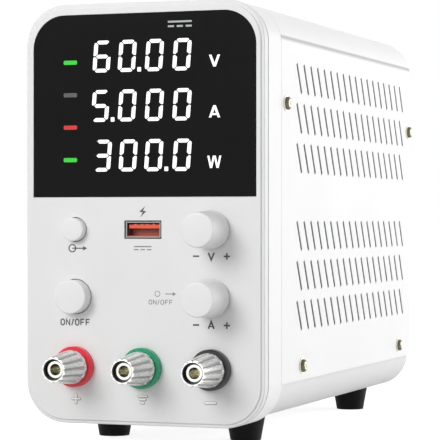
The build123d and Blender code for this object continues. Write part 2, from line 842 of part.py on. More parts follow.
# Binding posts: collar, stud with a 4 mm socket, captive washer and fluted cap
collar_front = -collar_height
washer_front = collar_front - slip_gap - washer_thickness
cap_rear = washer_front - slip_gap
stud_front = -(post_reach - socket_sunk)
shoulder_rear = panel_wall + insulator_thickness
for name, x in (("positive", -column_x), ("ground", 0), ("negative", column_x)):
    with BuildPart() as collar:
        with BuildSketch(upright(collar_front)):
            with Locations((x, post_row)):
                Circle(collar_radius)
        extrude(amount=-collar_height)
        chamfer(collar.edges().group_by(Axis.Y)[0], collar_edge)
        with BuildSketch(upright(0)):
            with Locations((x, post_row)):
                Circle(collar_neck_radius)
                Rectangle(2 * collar_neck_radius, collar_neck_flat, mode=Mode.INTERSECT)
        extrude(amount=-panel_wall)
        with BuildSketch(upright(collar_front)):
            with Locations((x, post_row)):
                Circle(stud_radius)
        extrude(amount=-(collar_height + panel_wall), mode=Mode.SUBTRACT)
    collar.part.label = f"{name}_collar"
    export_step(collar.part, f"parts/{name}_collar.step")

    with BuildPart() as stud:
        with BuildSketch(turning(x, post_row)):
            with BuildLine():
                Polyline(
                    (socket_radius, stud_front),
                    (stud_radius, stud_front),
                    (stud_radius, panel_wall),
                    (stud_tail_radius, panel_wall),
                    (stud_tail_radius, panel_wall + stud_tail_length),
                    (0, panel_wall + stud_tail_length),
                    (0, stud_front + socket_length),
                    (socket_radius, stud_front + socket_length),
                    close=True,
                )
            make_face()
        revolve(axis=turning_axis(x, post_row))
        wire_hole = (x, front_y + washer_front - wire_hole_radius, base_z + post_row)
        with BuildSketch(Plane(origin=wire_hole, x_dir=(0, 1, 0), z_dir=(1, 0, 0))):
            Circle(wire_hole_radius)
        extrude(amount=2 * stud_radius, both=True, mode=Mode.SUBTRACT)
    stud.part.label = f"{name}_stud"
    export_step(stud.part, f"parts/{name}_stud.step")

    with BuildPart() as clamp_washer:
        with BuildSketch(upright(washer_front)):
            with Locations((x, post_row)):
                Circle(washer_radius)
                Circle(stud_radius + cap_bore_fit, mode=Mode.SUBTRACT)
        extrude(amount=-washer_thickness)
    clamp_washer.part.label = f"{name}_clamp_washer"
    export_step(clamp_washer.part, f"parts/{name}_clamp_washer.step")

    with BuildPart() as cap:
        with BuildSketch(upright(cap_rear - cap_skirt_length)):
            with Locations((x, post_row)):
                fluted_outline(cap_rear_radius)
        with BuildSketch(upright(-post_reach)):
            with Locations((x, post_row)):
                fluted_outline(cap_front_radius)
        loft(ruled=True)
        with BuildSketch(upright(cap_rear)):
            with Locations((x, post_row)):
                Circle(cap_rear_radius)
        extrude(amount=cap_skirt_length)
        with BuildSketch(upright(cap_rear)):
            with Locations((x, post_row)):
                Circle(stud_radius + cap_bore_fit)
        extrude(amount=cap_rear + post_reach, mode=Mode.SUBTRACT)
        with BuildSketch(upright(-post_reach)):
            with Locations((x, post_row)):
                Circle(cap_well_radius)
        extrude(amount=-cap_well_depth, mode=Mode.SUBTRACT)
    cap.part.label = f"{name}_cap"
    export_step(cap.part, f"parts/{name}_cap.step")

with BuildPart() as post_insulators:
    with BuildSketch(upright(panel_wall)):
        with Locations((-column_x, post_row), (0, post_row), (column_x, post_row)):
            Circle(insulator_radius)
            Circle(stud_tail_radius, mode=Mode.SUBTRACT)
    extrude(amount=-insulator_thickness)
post_insulators.part.label = "post_insulators"
export_step(post_insulators.part, "parts/post_insulators.step")

with BuildPart() as post_nuts:
    with BuildSketch(upright(shoulder_rear)):
        with Locations((-column_x, post_row), (0, post_row), (column_x, post_row)):
            RegularPolygon(nut_across_flats / 2, 6, major_radius=False)
            Circle(stud_tail_radius, mode=Mode.SUBTRACT)
    extrude(amount=-nut_thickness)
post_nuts.part.label = "post_nuts"
export_step(post_nuts.part, "parts/post_nuts.step")

# Control board with cut top corners, and the three readout modules on it
with BuildPart() as control_board:
    with BuildSketch(upright(board_front)) as board_shape:
        with Locations((0, (control_board_bottom + control_board_top) / 2)):
            Rectangle(control_board_width, control_board_top - control_board_bottom)
        chamfer(board_shape.vertices().group_by(Axis.Y)[-1], control_board_cut)
        with Locations(*board_bosses):
            Circle(tapping_screw_radius + thread_gap, mode=Mode.SUBTRACT)
        with Locations((-column_x, lower_row)):
            Circle(power_stem_radius + press_gap, mode=Mode.SUBTRACT)
    extrude(amount=-board_thickness)
control_board.part.label = "control_board"
export_step(control_board.part, "parts/control_board.step")

module_heights = [window_bottom + window_height / 2 + step * module_pitch for step in (1, 0, -1)]
for name, height in zip(("voltage", "current", "power"), module_heights):
    with BuildPart() as readout:
        with BuildSketch(upright(module_front)):
            with Locations((module_x, height)):
                RectangleRounded(module_width, module_height, knob_edge)
        extrude(amount=-module_thickness)
    readout.part.label = f"{name}_readout"
    export_step(readout.part, f"parts/{name}_readout.step")

# Cooling fan: square frame with a hub carried on three struts
fan_rear = rear_inner
fan_front = fan_rear - fan_thickness
rotor_front = fan_front + strut_thickness + press_gap
with BuildPart() as fan_frame:
    with BuildSketch(upright(fan_front)):
        with Locations((0, fan_height)):
            RectangleRounded(fan_size, fan_size, fan_corner)
            Circle(fan_bore_radius, mode=Mode.SUBTRACT)
        with Locations(*fan_holes):
            Circle(fan_screw_radius + thread_gap, mode=Mode.SUBTRACT)
    extrude(amount=-fan_thickness)
    with BuildSketch(upright(fan_front)):
        with Locations((0, fan_height)):
            Circle(motor_radius)
            with PolarLocations(fan_bore_radius / 2, 3, start_angle=90):
                Rectangle(fan_bore_radius + strut_thickness / 2, strut_width)
    extrude(amount=-strut_thickness)
    with BuildSketch(upright(fan_front)):
        with Locations((0, fan_height)):
            Circle(bearing_radius)
    extrude(amount=-(strut_thickness + hub_length / 2))
    with BuildSketch(upright(fan_front)):
        with Locations((0, fan_height)):
            Circle(axle_radius + shaft_fit)
    extrude(amount=-(strut_thickness + hub_length / 2), mode=Mode.SUBTRACT)
fan_frame.part.label = "fan_frame"
export_step(fan_frame.part, "parts/fan_frame.step")

# Fan rotor: cupped hub with its axle and slanted blades
blade_middle = rotor_front + hub_length / 2
blade_root = hub_radius - hub_wall / 2
blade_reach = (rotor_radius ** 2 - (blade_chord / 2) ** 2) ** 0.5
fan_middle = (0, front_y + blade_middle, base_z + fan_height)
fan_centre = Plane(origin=fan_middle, x_dir=(1, 0, 0), z_dir=(0, -1, 0))
with BuildPart() as blade:
    with BuildSketch(Plane(origin=(blade_root, 0, 0), x_dir=(0, 1, 0), z_dir=(1, 0, 0))):
        Rectangle(blade_chord, blade_thickness, rotation=blade_pitch)
    extrude(amount=blade_reach - blade_root)
with BuildPart() as fan_rotor:
    with BuildSketch(upright(rotor_front)):
        with Locations((0, fan_height)):
            Circle(hub_radius)
    extrude(amount=-hub_length)
    with BuildSketch(upright(rotor_front)):
        with Locations((0, fan_height)):
            Circle(hub_radius - hub_wall)
            Circle(axle_radius, mode=Mode.SUBTRACT)
    extrude(amount=-(hub_length - hub_wall), mode=Mode.SUBTRACT)
    with Locations(fan_centre):
        with PolarLocations(0, blade_count):
            add(blade.part)
    with BuildSketch(upright(fan_front)):
        with Locations((0, fan_height)):
            Circle(axle_radius)
    extrude(amount=fan_front - rotor_front)
fan_rotor.part.label = "fan_rotor"
export_step(fan_rotor.part, "parts/fan_rotor.step")

# Fan guard: rings, four arms and screw eyes
guard_reach = fan_hole_spacing / 2 ** 0.5
with BuildPart() as fan_guard:
    with BuildSketch(upright(rear_face)):
        with Locations((0, fan_height)):
            for radius in reversed(guard_rings):
                Circle(radius + guard_wire / 2)
                Circle(radius - guard_wire / 2, mode=Mode.SUBTRACT)
            with PolarLocations((guard_rings[0] + guard_reach) / 2, 4, start_angle=45):
                Rectangle(guard_reach - guard_rings[0], guard_wire)
        with Locations(*fan_holes):
            Circle(guard_eye_radius)
            Circle(fan_hole_radius, mode=Mode.SUBTRACT)
    extrude(amount=-guard_thickness)
fan_guard.part.label = "fan_guard"
export_step(fan_guard.part, "parts/fan_guard.step")

with BuildPart() as fan_screws:
    with BuildSketch(upright(rear_face + guard_thickness)):
        with Locations(*fan_holes):
            RegularPolygon(fan_screw_radius, shank_sides)
    extrude(amount=fan_screw_length)
    with BuildSketch(upright(rear_face + guard_thickness)):
        with Locations(*fan_holes):
            Circle(fan_head_radius)
    extrude(amount=-fan_head_height)
fan_screws.part.label = "fan_screws"
export_step(fan_screws.part, "parts/fan_screws.step")

# Mains inlet: flanged housing with the socket above and the fuse drawer below
inlet_outer = rear_face + inlet_flange_thickness
socket_floor = inlet_outer - socket_depth
socket_height_centre = inlet_height + socket_rise
drawer_height_centre = inlet_height - drawer_drop
with BuildPart() as inlet_housing:
    with BuildSketch(upright(inlet_outer)):
        with Locations((inlet_x, inlet_height)):
            RectangleRounded(inlet_flange_width, inlet_flange_height, inlet_corner)
    extrude(amount=inlet_flange_thickness)
    with BuildSketch(upright(rear_face)):
        with Locations((inlet_x, inlet_height)):
            Rectangle(inlet_body_width, inlet_body_height)
    extrude(amount=inlet_body_depth)
    with BuildSketch(upright(inlet_outer)) as socket_shape:
        with Locations((inlet_x, socket_height_centre)):
            Rectangle(socket_width, socket_height)
        chamfer(socket_shape.vertices().group_by(Axis.Y)[-1], socket_chamfer)
    extrude(amount=socket_depth, mode=Mode.SUBTRACT)
    with BuildSketch(upright(inlet_outer)):
        with Locations((inlet_x, drawer_height_centre)):
            Rectangle(drawer_width + 2 * drawer_gap, drawer_height + 2 * drawer_gap)
    extrude(amount=inlet_flange_thickness + drawer_depth, mode=Mode.SUBTRACT)
inlet_housing.part.label = "inlet_housing"
export_step(inlet_housing.part, "parts/inlet_housing.step")

with BuildPart() as inlet_pins:
    with BuildSketch(upright(socket_floor)):
        with Locations(
            (inlet_x - pin_spacing, socket_height_centre - pin_offset),
            (inlet_x, socket_height_centre + pin_offset),
            (inlet_x + pin_spacing, socket_height_centre - pin_offset),
        ):
            Rectangle(pin_width, pin_height)
    extrude(amount=-pin_length)
    chamfer(inlet_pins.edges().group_by(Axis.Y)[-1], pin_edge)
inlet_pins.part.label = "inlet_pins"
export_step(inlet_pins.part, "parts/inlet_pins.step")

# Fuse drawer: a tray with a lip, open at the top for the fuse
with BuildPart() as fuse_drawer:
    with BuildSketch(upright(inlet_outer + drawer_lip_thickness)):
        with Locations((inlet_x, drawer_height_centre)):
            Rectangle(drawer_width + 2 * drawer_lip, drawer_height + drawer_lip)
    extrude(amount=drawer_lip_thickness)
    with BuildSketch(upright(inlet_outer)):
        with Locations((inlet_x, drawer_height_centre)):
            Rectangle(drawer_width, drawer_height)
    extrude(amount=inlet_flange_thickness + drawer_depth - drawer_gap)
    with BuildSketch(level(drawer_height_centre + drawer_height / 2)):
        with Locations((inlet_x, rear_face - drawer_depth / 2)):
            Rectangle(fuse_length + 2 * drawer_gap, 2 * (fuse_radius + drawer_gap))
    extrude(amount=drawer_floor - drawer_height, mode=Mode.SUBTRACT)
fuse_drawer.part.label = "fuse_drawer"
export_step(fuse_drawer.part, "parts/fuse_drawer.step")

with BuildPart() as fuse:
    fuse_height = drawer_height_centre - drawer_height / 2 + drawer_floor + fuse_radius
    fuse_middle = (inlet_x, front_y + rear_face - drawer_depth / 2, base_z + fuse_height)
    with BuildSketch(Plane(origin=fuse_middle, x_dir=(0, 1, 0), z_dir=(1, 0, 0))):
        Circle(fuse_radius - fuse_cap_step)
    extrude(amount=fuse_length / 2, both=True)
    for side in (-1, 1):
        fuse_end = (inlet_x + side * fuse_length / 2, fuse_middle[1], fuse_middle[2])
        with BuildSketch(Plane(origin=fuse_end, x_dir=(0, 1, 0), z_dir=(side, 0, 0))):
            Circle(fuse_radius)
        extrude(amount=-fuse_cap_length)
fuse.part.label = "fuse"
export_step(fuse.part, "parts/fuse.step")

# Voltage selector: flanged body with a recessed slider
selector_outer = rear_face + selector_flange_thickness
channel_depth = selector_flange_thickness + slider_depth
with BuildPart() as voltage_selector:
    with BuildSketch(upright(selector_outer)):
        with Locations((selector_x, selector_height)):
            RectangleRounded(selector_flange_width, selector_flange_height, knob_edge)
    extrude(amount=selector_flange_thickness)
    with BuildSketch(upright(rear_face)):
        with Locations((selector_x, selector_height)):
            Rectangle(selector_body_width, selector_body_height)
    extrude(amount=selector_body_depth)
    with BuildSketch(upright(selector_outer)):
        with Locations((selector_x, selector_height)):
            Rectangle(slider_width + slider_travel + 2 * press_gap, slider_height + 2 * press_gap)
    extrude(amount=channel_depth + press_gap, mode=Mode.SUBTRACT)
voltage_selector.part.label = "voltage_selector"
export_step(voltage_selector.part, "parts/voltage_selector.step")

with BuildPart() as selector_slider:
    with BuildSketch(upright(selector_outer - slider_reach)):
        with Locations((selector_x - slider_travel / 2, selector_height)):
            Rectangle(slider_width, slider_height)
    extrude(amount=channel_depth - slider_reach)
    with BuildSketch(upright(selector_outer - slider_reach)):
        with Locations((selector_x - slider_travel / 2, selector_height)):
            Rectangle(slider_groove, slider_height)
    extrude(amount=slider_groove, mode=Mode.SUBTRACT)
selector_slider.part.label = "selector_slider"
export_step(selector_slider.part, "parts/selector_slider.step")

# Main board on its standoffs
with BuildPart() as main_board:
    with BuildSketch(level(main_board_bottom)):
        with Locations((0, (main_board_front + main_board_rear) / 2)):
            Rectangle(main_board_width, main_board_rear - main_board_front)
        with Locations(*standoff_points):
            Circle(casing_screw_radius + thread_gap, mode=Mode.SUBTRACT)
    extrude(amount=board_thickness)
main_board.part.label = "main_board"
export_step(main_board.part, "parts/main_board.step")

with BuildPart() as board_standoffs:
    with BuildSketch(level(tray_floor)):
        with Locations(*standoff_points):
            RegularPolygon(standoff_radius, 6)
            Circle(casing_screw_radius + thread_gap, mode=Mode.SUBTRACT)
    extrude(amount=standoff_height)
board_standoffs.part.label = "board_standoffs"
export_step(board_standoffs.part, "parts/board_standoffs.step")

# Transformer: a two-window core and the winding round its middle leg
core_middle = main_board_top + core_height / 2
with BuildPart() as transformer_core:
    with BuildSketch(upright(core_depth)):
        with Locations((0, core_middle)):
            Rectangle(core_width, core_height)
        for side in (-1, 1):
            with Locations((side * (core_width - core_leg) / 4, core_middle)):
                Rectangle((core_width - 3 * core_leg) / 2, core_height - 2 * core_leg, mode=Mode.SUBTRACT)
    extrude(amount=core_length / 2, both=True)
transformer_core.part.label = "transformer_core"
export_step(transformer_core.part, "parts/transformer_core.step")

with BuildPart() as transformer_winding:
    with BuildSketch(level(main_board_top + core_leg + winding_gap)):
        with Locations((0, core_depth)):
            RectangleRounded(core_width - 2 * core_leg - 2 * winding_gap, winding_length, winding_corner)
            Rectangle(core_leg + 2 * winding_gap, core_length + 2 * winding_gap, mode=Mode.SUBTRACT)
    extrude(amount=core_height - 2 * core_leg - 2 * winding_gap)
transformer_winding.part.label = "transformer_winding"
export_step(transformer_winding.part, "parts/transformer_winding.step")

with BuildPart() as input_capacitors:
    with BuildSketch(level(main_board_top)):
        with Locations((-capacitor_spacing / 2, capacitor_depth), (capacitor_spacing / 2, capacitor_depth)):
            Circle(capacitor_radius)
    extrude(amount=capacitor_height)
input_capacitors.part.label = "input_capacitors"
export_step(input_capacitors.part, "parts/input_capacitors.step")

with BuildPart() as output_choke:
    with BuildSketch(level(main_board_top)):
        with Locations((0, choke_depth)):
            Circle(choke_outer_radius)
            Circle(choke_inner_radius, mode=Mode.SUBTRACT)
    extrude(amount=choke_height)
output_choke.part.label = "output_choke"
export_step(output_choke.part, "parts/output_choke.step")

# Heat sinks: finned extrusions along both sides of the board
fin_step = (sink_height - sink_fin) / (sink_fin_count - 1)
with BuildPart() as heat_sinks:
    with BuildSketch(upright(sink_front)):
        for side in (-1, 1):
            with Locations((side * (sink_x + sink_plate / 2), main_board_top + sink_height / 2)):
                Rectangle(sink_plate, sink_height)
                with GridLocations(sink_fin, fin_step, 1, sink_fin_count):
                    with Locations((side * (sink_plate + sink_fin_length) / 2, 0)):
                        Rectangle(sink_fin_length, sink_fin)
    extrude(amount=-sink_length)
heat_sinks.part.label = "heat_sinks"
export_step(heat_sinks.part, "parts/heat_sinks.step")
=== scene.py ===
import json
import math

import bmesh
import bpy
from mathutils import Matrix, Vector


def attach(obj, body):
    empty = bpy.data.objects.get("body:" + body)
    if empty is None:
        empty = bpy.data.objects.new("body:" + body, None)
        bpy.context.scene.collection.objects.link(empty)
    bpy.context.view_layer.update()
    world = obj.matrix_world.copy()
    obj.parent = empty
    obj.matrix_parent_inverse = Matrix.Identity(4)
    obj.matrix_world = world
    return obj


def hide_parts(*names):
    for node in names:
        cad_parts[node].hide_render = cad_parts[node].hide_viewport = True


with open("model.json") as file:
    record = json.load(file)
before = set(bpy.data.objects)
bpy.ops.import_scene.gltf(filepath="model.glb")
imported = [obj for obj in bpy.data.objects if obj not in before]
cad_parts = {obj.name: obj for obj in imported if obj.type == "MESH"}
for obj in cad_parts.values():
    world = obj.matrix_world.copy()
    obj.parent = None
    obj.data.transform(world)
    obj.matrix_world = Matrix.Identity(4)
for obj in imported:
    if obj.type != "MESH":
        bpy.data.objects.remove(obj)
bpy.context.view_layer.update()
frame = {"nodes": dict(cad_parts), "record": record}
nodes = frame["nodes"]

# The body's front face and lower edge, in metres. Sizes below are in millimetres.
FRONT_Y = -0.0905
BASE_Z = 0.0075
MM = 0.001
COLUMN_X = 26.0
UPPER_ROW, LOWER_ROW, POST_ROW = 69.4, 45.4, 20.4
INK_DEPTH = -0.03
CAP_REAR_DEPTH, CAP_SKIRT, CAP_FRONT_DEPTH = -3.6, 1.4, -19.2
CAP_REAR_RADIUS, CAP_FRONT_RADIUS, CAP_BORE, CAP_WELL, CAP_WELL_DEPTH = 6.05, 4.5, 3.0, 3.65, 5.0
FLUTES, FLUTE_DEPTH, AROUND = 12, 0.5, 144
SKIRT_FRONT = CAP_REAR_DEPTH - CAP_SKIRT
SOCKET_RADIUS = 2.08
COVER_CORE_X, SLOTS_TOP = 45.15, 138.5


def behind(depth):
    """The world's y at this depth behind the front face."""
    return FRONT_Y + depth * MM


def above(height):
    """The world's z at this height above the lower edge."""
    return BASE_Z + height * MM


def at(x, depth, height):
    """A point from the body's own measures: across, behind the front face, above the lower edge."""
    return Vector((x * MM, behind(depth), above(height)))


def srgb(r, g, b):
    """Linear colour of a screen colour given as 0 to 255."""
    return [((c / 255 + 0.055) / 1.055) ** 2.4 if c > 10 else c / 255 / 12.92 for c in (r, g, b)] + [1.0]


# Materials


class Look:
    """One procedural material around a Principled shader, in the object's own metres."""

    def __init__(self, name, colour, roughness, metallic=0.0, specular=0.5, coat=0.0, coat_roughness=0.1):
        self.material = bpy.data.materials.new(name)
        self.material.use_nodes = True
        self.tree = self.material.node_tree
        self.shader = self.tree.nodes["Principled BSDF"]
        self.colour = colour
        self.shader.inputs["Base Color"].default_value = colour
        self.shader.inputs["Roughness"].default_value = roughness
        self.shader.inputs["Metallic"].default_value = metallic
        self.shader.inputs["Specular IOR Level"].default_value = specular
        self.shader.inputs["Coat Weight"].default_value = coat
        self.shader.inputs["Coat Roughness"].default_value = coat_roughness
        self.roughness = roughness
        self.place = self.add("ShaderNodeTexCoord").outputs["Object"]
        self.normal = None

    def add(self, kind, **values):
        node = self.tree.nodes.new(kind)
        for key, value in values.items():
            setattr(node, key, value)
        return node

    def link(self, a, b):
        self.tree.links.new(a, b)

    def mapped(self, scale=(1, 1, 1), turn=(0, 0, 0), move=(0, 0, 0)):
        node = self.add("ShaderNodeMapping")
        node.inputs["Scale"].default_value = scale
        node.inputs["Rotation"].default_value = turn
        node.inputs["Location"].default_value = move
        self.link(self.place, node.inputs["Vector"])
        return node.outputs["Vector"]

    def noise(self, scale, detail=2.0, roughness=0.5, stretch=(1, 1, 1)):
        node = self.add("ShaderNodeTexNoise")
        node.inputs["Scale"].default_value = scale
        node.inputs["Detail"].default_value = detail
        node.inputs["Roughness"].default_value = roughness
        self.link(self.mapped(stretch), node.inputs["Vector"])
        return node.outputs["Fac"]

    def cells(self, scale, feature="F1"):
        node = self.add("ShaderNodeTexVoronoi", feature=feature)
        node.inputs["Scale"].default_value = scale
        self.link(self.mapped(), node.inputs["Vector"])
        return node.outputs["Distance"]

    def spread(self, value, low, high, start=0.3, end=0.7):
        node = self.add("ShaderNodeMapRange")
        node.inputs["From Min"].default_value = start
        node.inputs["From Max"].default_value = end
        node.inputs["To Min"].default_value = low
        node.inputs["To Max"].default_value = high
        self.link(value, node.inputs["Value"])
        return node.outputs["Result"]

    def mixed(self, value, a, b):
        node = self.add("ShaderNodeMix", data_type="RGBA")
        self.link(value, node.inputs["Factor"])
        node.inputs["A"].default_value = a
        node.inputs["B"].default_value = b
        return node.outputs["Result"]

    def sum(self, kind, a, b=None):
        """One sum on two values, each a socket or a number."""
        node = self.add("ShaderNodeMath", operation=kind)
        for socket, value in zip(node.inputs, (a, b)):
            if hasattr(value, "is_output"):
                self.link(value, socket)
            elif value is not None:
                socket.default_value = value
        return node.outputs["Value"]

    def xyz(self):
        node = self.add("ShaderNodeSeparateXYZ")
        self.link(self.place, node.inputs["Vector"])
        return node.outputs["X"], node.outputs["Y"], node.outputs["Z"]

    def base(self):
        """What drives the base colour so far, or its plain value."""
        socket = self.shader.inputs["Base Color"]
        return socket.links[0].from_socket if socket.links else self.colour

    def paint(self, share, colour):
        """Lays a colour over the base colour where the share is 1."""
        before = self.base()
        node = self.add("ShaderNodeMix", data_type="RGBA")
        self.link(share, node.inputs["Factor"])
        if hasattr(before, "is_output"):
            self.link(before, node.inputs["A"])
        else:
            node.inputs["A"].default_value = before
        node.inputs["B"].default_value = colour
        self.link(node.outputs["Result"], self.shader.inputs["Base Color"])

    def round_post(self):
        """Distance from the nearest post's axis, and the angle round it from straight up."""
        x, _, z = self.xyz()
        pitch = COLUMN_X * MM
        near = self.sum("MULTIPLY", self.sum("ROUND", self.sum("DIVIDE", x, pitch)), pitch)
        across = self.sum("SUBTRACT", x, near)
        up = self.sum("SUBTRACT", z, above(POST_ROW))
        squares = self.sum("ADD", self.sum("MULTIPLY", across, across), self.sum("MULTIPLY", up, up))
        return self.sum("SQRT", squares), self.sum("ARCTAN2", across, up)

    def tint(self, value, share, start=0.3, end=0.7):
        """Colour that drifts a little darker and lighter with the value."""
        low = [c * (1 - share) for c in self.colour[:3]] + [1]
        high = [min(1.0, c * (1 + share)) for c in self.colour[:3]] + [1]
        drifting = self.mixed(self.spread(value, 0, 1, start, end), low, high)
        self.link(drifting, self.shader.inputs["Base Color"])

    def vary_roughness(self, value, share):
        low, high = self.roughness * (1 - share), self.roughness * (1 + share)
        self.link(self.spread(value, low, high), self.shader.inputs["Roughness"])

    def bump(self, value, strength, distance):
        node = self.add("ShaderNodeBump")
        node.inputs["Strength"].default_value = strength
        node.inputs["Distance"].default_value = distance
        self.link(value, node.inputs["Height"])
        if self.normal is not None:
            self.link(self.normal, node.inputs["Normal"])
        self.normal = node.outputs["Normal"]
        self.link(self.normal, self.shader.inputs["Normal"])


looks = {}


def moulded(name, colour, roughness=0.42, grain=2600, depth=0.00002, specular=0.5, drift=0.02, strength=0.35):
    """Moulded plastic with a fine spark-eroded grain and a slow drift in tone."""
    look = Look(name, colour, roughness, specular=specular)
    look.tint(look.noise(45, 3), drift)
    look.vary_roughness(look.noise(220, 3), 0.12)
    look.bump(look.cells(grain, "SMOOTH_F1"), strength, depth)
    looks[name] = look
    return look


def powder(name, colour, roughness=0.5):
    """Powder coat: an orange peel with fine grit and slightly worn tone."""
    look = Look(name, colour, roughness, specular=0.45)
    look.tint(look.noise(30, 4), 0.015)
    look.vary_roughness(look.noise(500, 3), 0.15)
    look.bump(look.noise(1500, 3, 0.6), 0.25, 0.00003)
    look.bump(look.noise(5000, 2), 0.2, 0.00001)
    looks[name] = look
    return look


def metal(name, colour, roughness, brush=(1, 1, 1), scale=900, strength=0.2, drift=0.06):
    """Plated or brushed metal with a grain drawn along the short side of the stretch."""
    look = Look(name, colour, roughness, metallic=1.0)
    look.tint(look.noise(160, 3), drift)
    look.vary_roughness(look.noise(scale, 3, 0.6, brush), 0.3)
    look.bump(look.noise(scale, 4, 0.6, brush), strength, 0.00001)
    looks[name] = look
    return look


moulded("panel_grey", srgb(229, 229, 229), 0.40, drift=0.012)
moulded("frame_white", srgb(242, 242, 242), 0.38, drift=0.01)
cover = powder("cover_white", srgb(245, 245, 245))
powder("tray_grey", srgb(234, 234, 234))
powder("rear_white", srgb(240, 240, 240))
moulded("knob_grey", srgb(232, 232, 232), 0.36, grain=3400, drift=0.01)
moulded("post_red", srgb(224, 36, 58), 0.30, grain=2000, drift=0.05, strength=0.15)
moulded("post_green", srgb(20, 150, 106), 0.30, grain=2000, drift=0.05, strength=0.15)
moulded("post_black", srgb(38, 38, 40), 0.30, grain=2000, drift=0.08, strength=0.15)
cap_look = metal("cap_nickel", srgb(228, 228, 227), 0.26, (1, 0.05, 1), 900, 0.03, 0.03)
stud_look = metal("stud_nickel", srgb(226, 225, 219), 0.24, (1, 0.1, 1), 1400, 0.05)
# Screw heads: nickel darkened to painted shade for the domed sides, and a pale copy of it as painted highlight
# on crowns and flanges
metal("screw_nickel", srgb(98, 94, 80), 0.34, (1, 1, 1), 2200, 0.2, 0.1)
metal("screw_highlight", srgb(232, 230, 214), 0.34, (1, 1, 1), 2200, 0.2, 0.06)
metal("usb_steel", srgb(138, 136, 138), 0.34, (1, 0.1, 1), 2600, 0.2)
metal("encoder_steel", srgb(176, 176, 178), 0.36, (0.1, 1, 1), 1500, 0.2)
metal("shaft_aluminium", srgb(196, 197, 200), 0.30, (1, 0.08, 1), 1800, 0.2)
metal("guard_nickel", srgb(200, 200, 202), 0.18, (1, 1, 1), 900, 0.1)
metal("contact_brass", srgb(206, 188, 132), 0.26, (1, 0.1, 1), 1500, 0.15, 0.08)
metal("winding_copper", srgb(176, 92, 48), 0.34, (0.05, 1, 1), 2600, 0.6, 0.12)
metal("sink_aluminium", srgb(188, 190, 193), 0.40, (1, 0.05, 1), 1500, 0.3)
moulded("usb_orange", srgb(240, 84, 50), 0.38, grain=4200, drift=0.05)
moulded("board_green", srgb(28, 92, 52), 0.32, grain=1500, drift=0.12)
moulded("module_grey", srgb(92, 93, 96), 0.40, drift=0.05)
moulded("switch_black", srgb(38, 38, 41), 0.40, drift=0.06)
moulded("fan_black", srgb(32, 32, 34), 0.42, grain=1800, drift=0.06)
moulded("inlet_black", srgb(34, 34, 36), 0.38, grain=2200, drift=0.06)
moulded("slider_red", srgb(170, 28, 30), 0.36, grain=3000, drift=0.05)
moulded("can_black", srgb(36, 38, 58), 0.30, grain=1200, drift=0.08)
moulded("ferrite_grey", srgb(62, 62, 65), 0.62, grain=3200, drift=0.1, strength=0.6)

# The slots' walls get painted shade, a flat grey from just under the coat inwards, and below the rolled
# corners
x, _, z = cover.xyz()
inside = cover.spread(cover.sum("ABSOLUTE", x), 1, 0, (COVER_CORE_X - 0.15) * MM, (COVER_CORE_X + 0.15) * MM)
below = cover.spread(z, 1, 0, above(SLOTS_TOP - 0.5), above(SLOTS_TOP + 0.5))
cover.paint(cover.sum("MULTIPLY", inside, below), srgb(128, 128, 128))

# Caps: painted shade down in the flutes and the well, a painted highlight round the nose
radius, angle = cap_look.round_post()
_, y, _ = cap_look.xyz()
flutes = cap_look.sum("COSINE", cap_look.sum("MULTIPLY", angle, float(FLUTES)))
outer = cap_look.spread(radius, 0, 1, (CAP_WELL + 0.1) * MM, (CAP_WELL + 0.2) * MM)
behind_nose = cap_look.spread(y, 0, 1, behind(CAP_FRONT_DEPTH + 0.2), behind(CAP_FRONT_DEPTH + 0.6))
before_skirt = cap_look.spread(y, 1, 0, behind(SKIRT_FRONT - 0.3), behind(SKIRT_FRONT + 0.2))
shade = cap_look.sum("MULTIPLY", cap_look.spread(flutes, 0, 1, 0.05, 0.95), outer)
shade = cap_look.sum("MULTIPLY", cap_look.sum("MULTIPLY", shade, behind_nose), before_skirt)
cap_look.paint(shade, srgb(168, 168, 167))
cap_look.paint(cap_look.sum("SUBTRACT", 1.0, behind_nose), srgb(247, 247, 246))
cap_look.paint(cap_look.sum("SUBTRACT", 1.0, outer), srgb(96, 96, 94))
cap_look.shader.inputs["Metallic"].default_value = 0.7

# Studs: the socket's bore is painted warmer and paler
radius, _ = stud_look.round_post()
bore = stud_look.spread(radius, 1, 0, (SOCKET_RADIUS - 0.02) * MM, (SOCKET_RADIUS + 0.02) * MM)
stud_look.paint(bore, srgb(236, 234, 218))

window = Look("window_black", srgb(17, 17, 17), 0.16, specular=0.09)
window.vary_roughness(window.noise(300, 2), 0.1)
window.tint(window.noise(60, 2), 0.1)
window.bump(window.noise(900, 2), 0.03, 0.00001)
looks["window_black"] = window

rubber = Look("rubber_black", srgb(11, 11, 11), 0.6, specular=0.12)
rubber.tint(rubber.noise(120, 4), 0.25)
rubber.vary_roughness(rubber.noise(600, 3), 0.15)
rubber.bump(rubber.cells(2400, "SMOOTH_F1"), 0.5, 0.00004)
rubber.bump(rubber.noise(700, 3), 0.2, 0.00004)
looks["rubber_black"] = rubber

glass = Look("fuse_glass", srgb(205, 214, 214), 0.08, specular=0.6)
glass.tint(glass.noise(300, 2), 0.06)
glass.bump(glass.noise(400, 2), 0.05, 0.00001)
glass.shader.inputs["Transmission Weight"].default_value = 0.75
looks["fuse_glass"] = glass


def glowing(name, colour, strength):
    """A lit segment under the window: even light with a faint grain from its diffuser film."""
    look = Look(name, [c * 0.4 for c in colour[:3]] + [1], 0.5)
    low = [c * 0.94 for c in colour[:3]] + [1]
    grain = look.mixed(look.spread(look.noise(2200, 2), 0, 1), low, colour)
    look.link(grain, look.shader.inputs["Emission Color"])
    look.shader.inputs["Emission Strength"].default_value = strength
    looks[name] = look


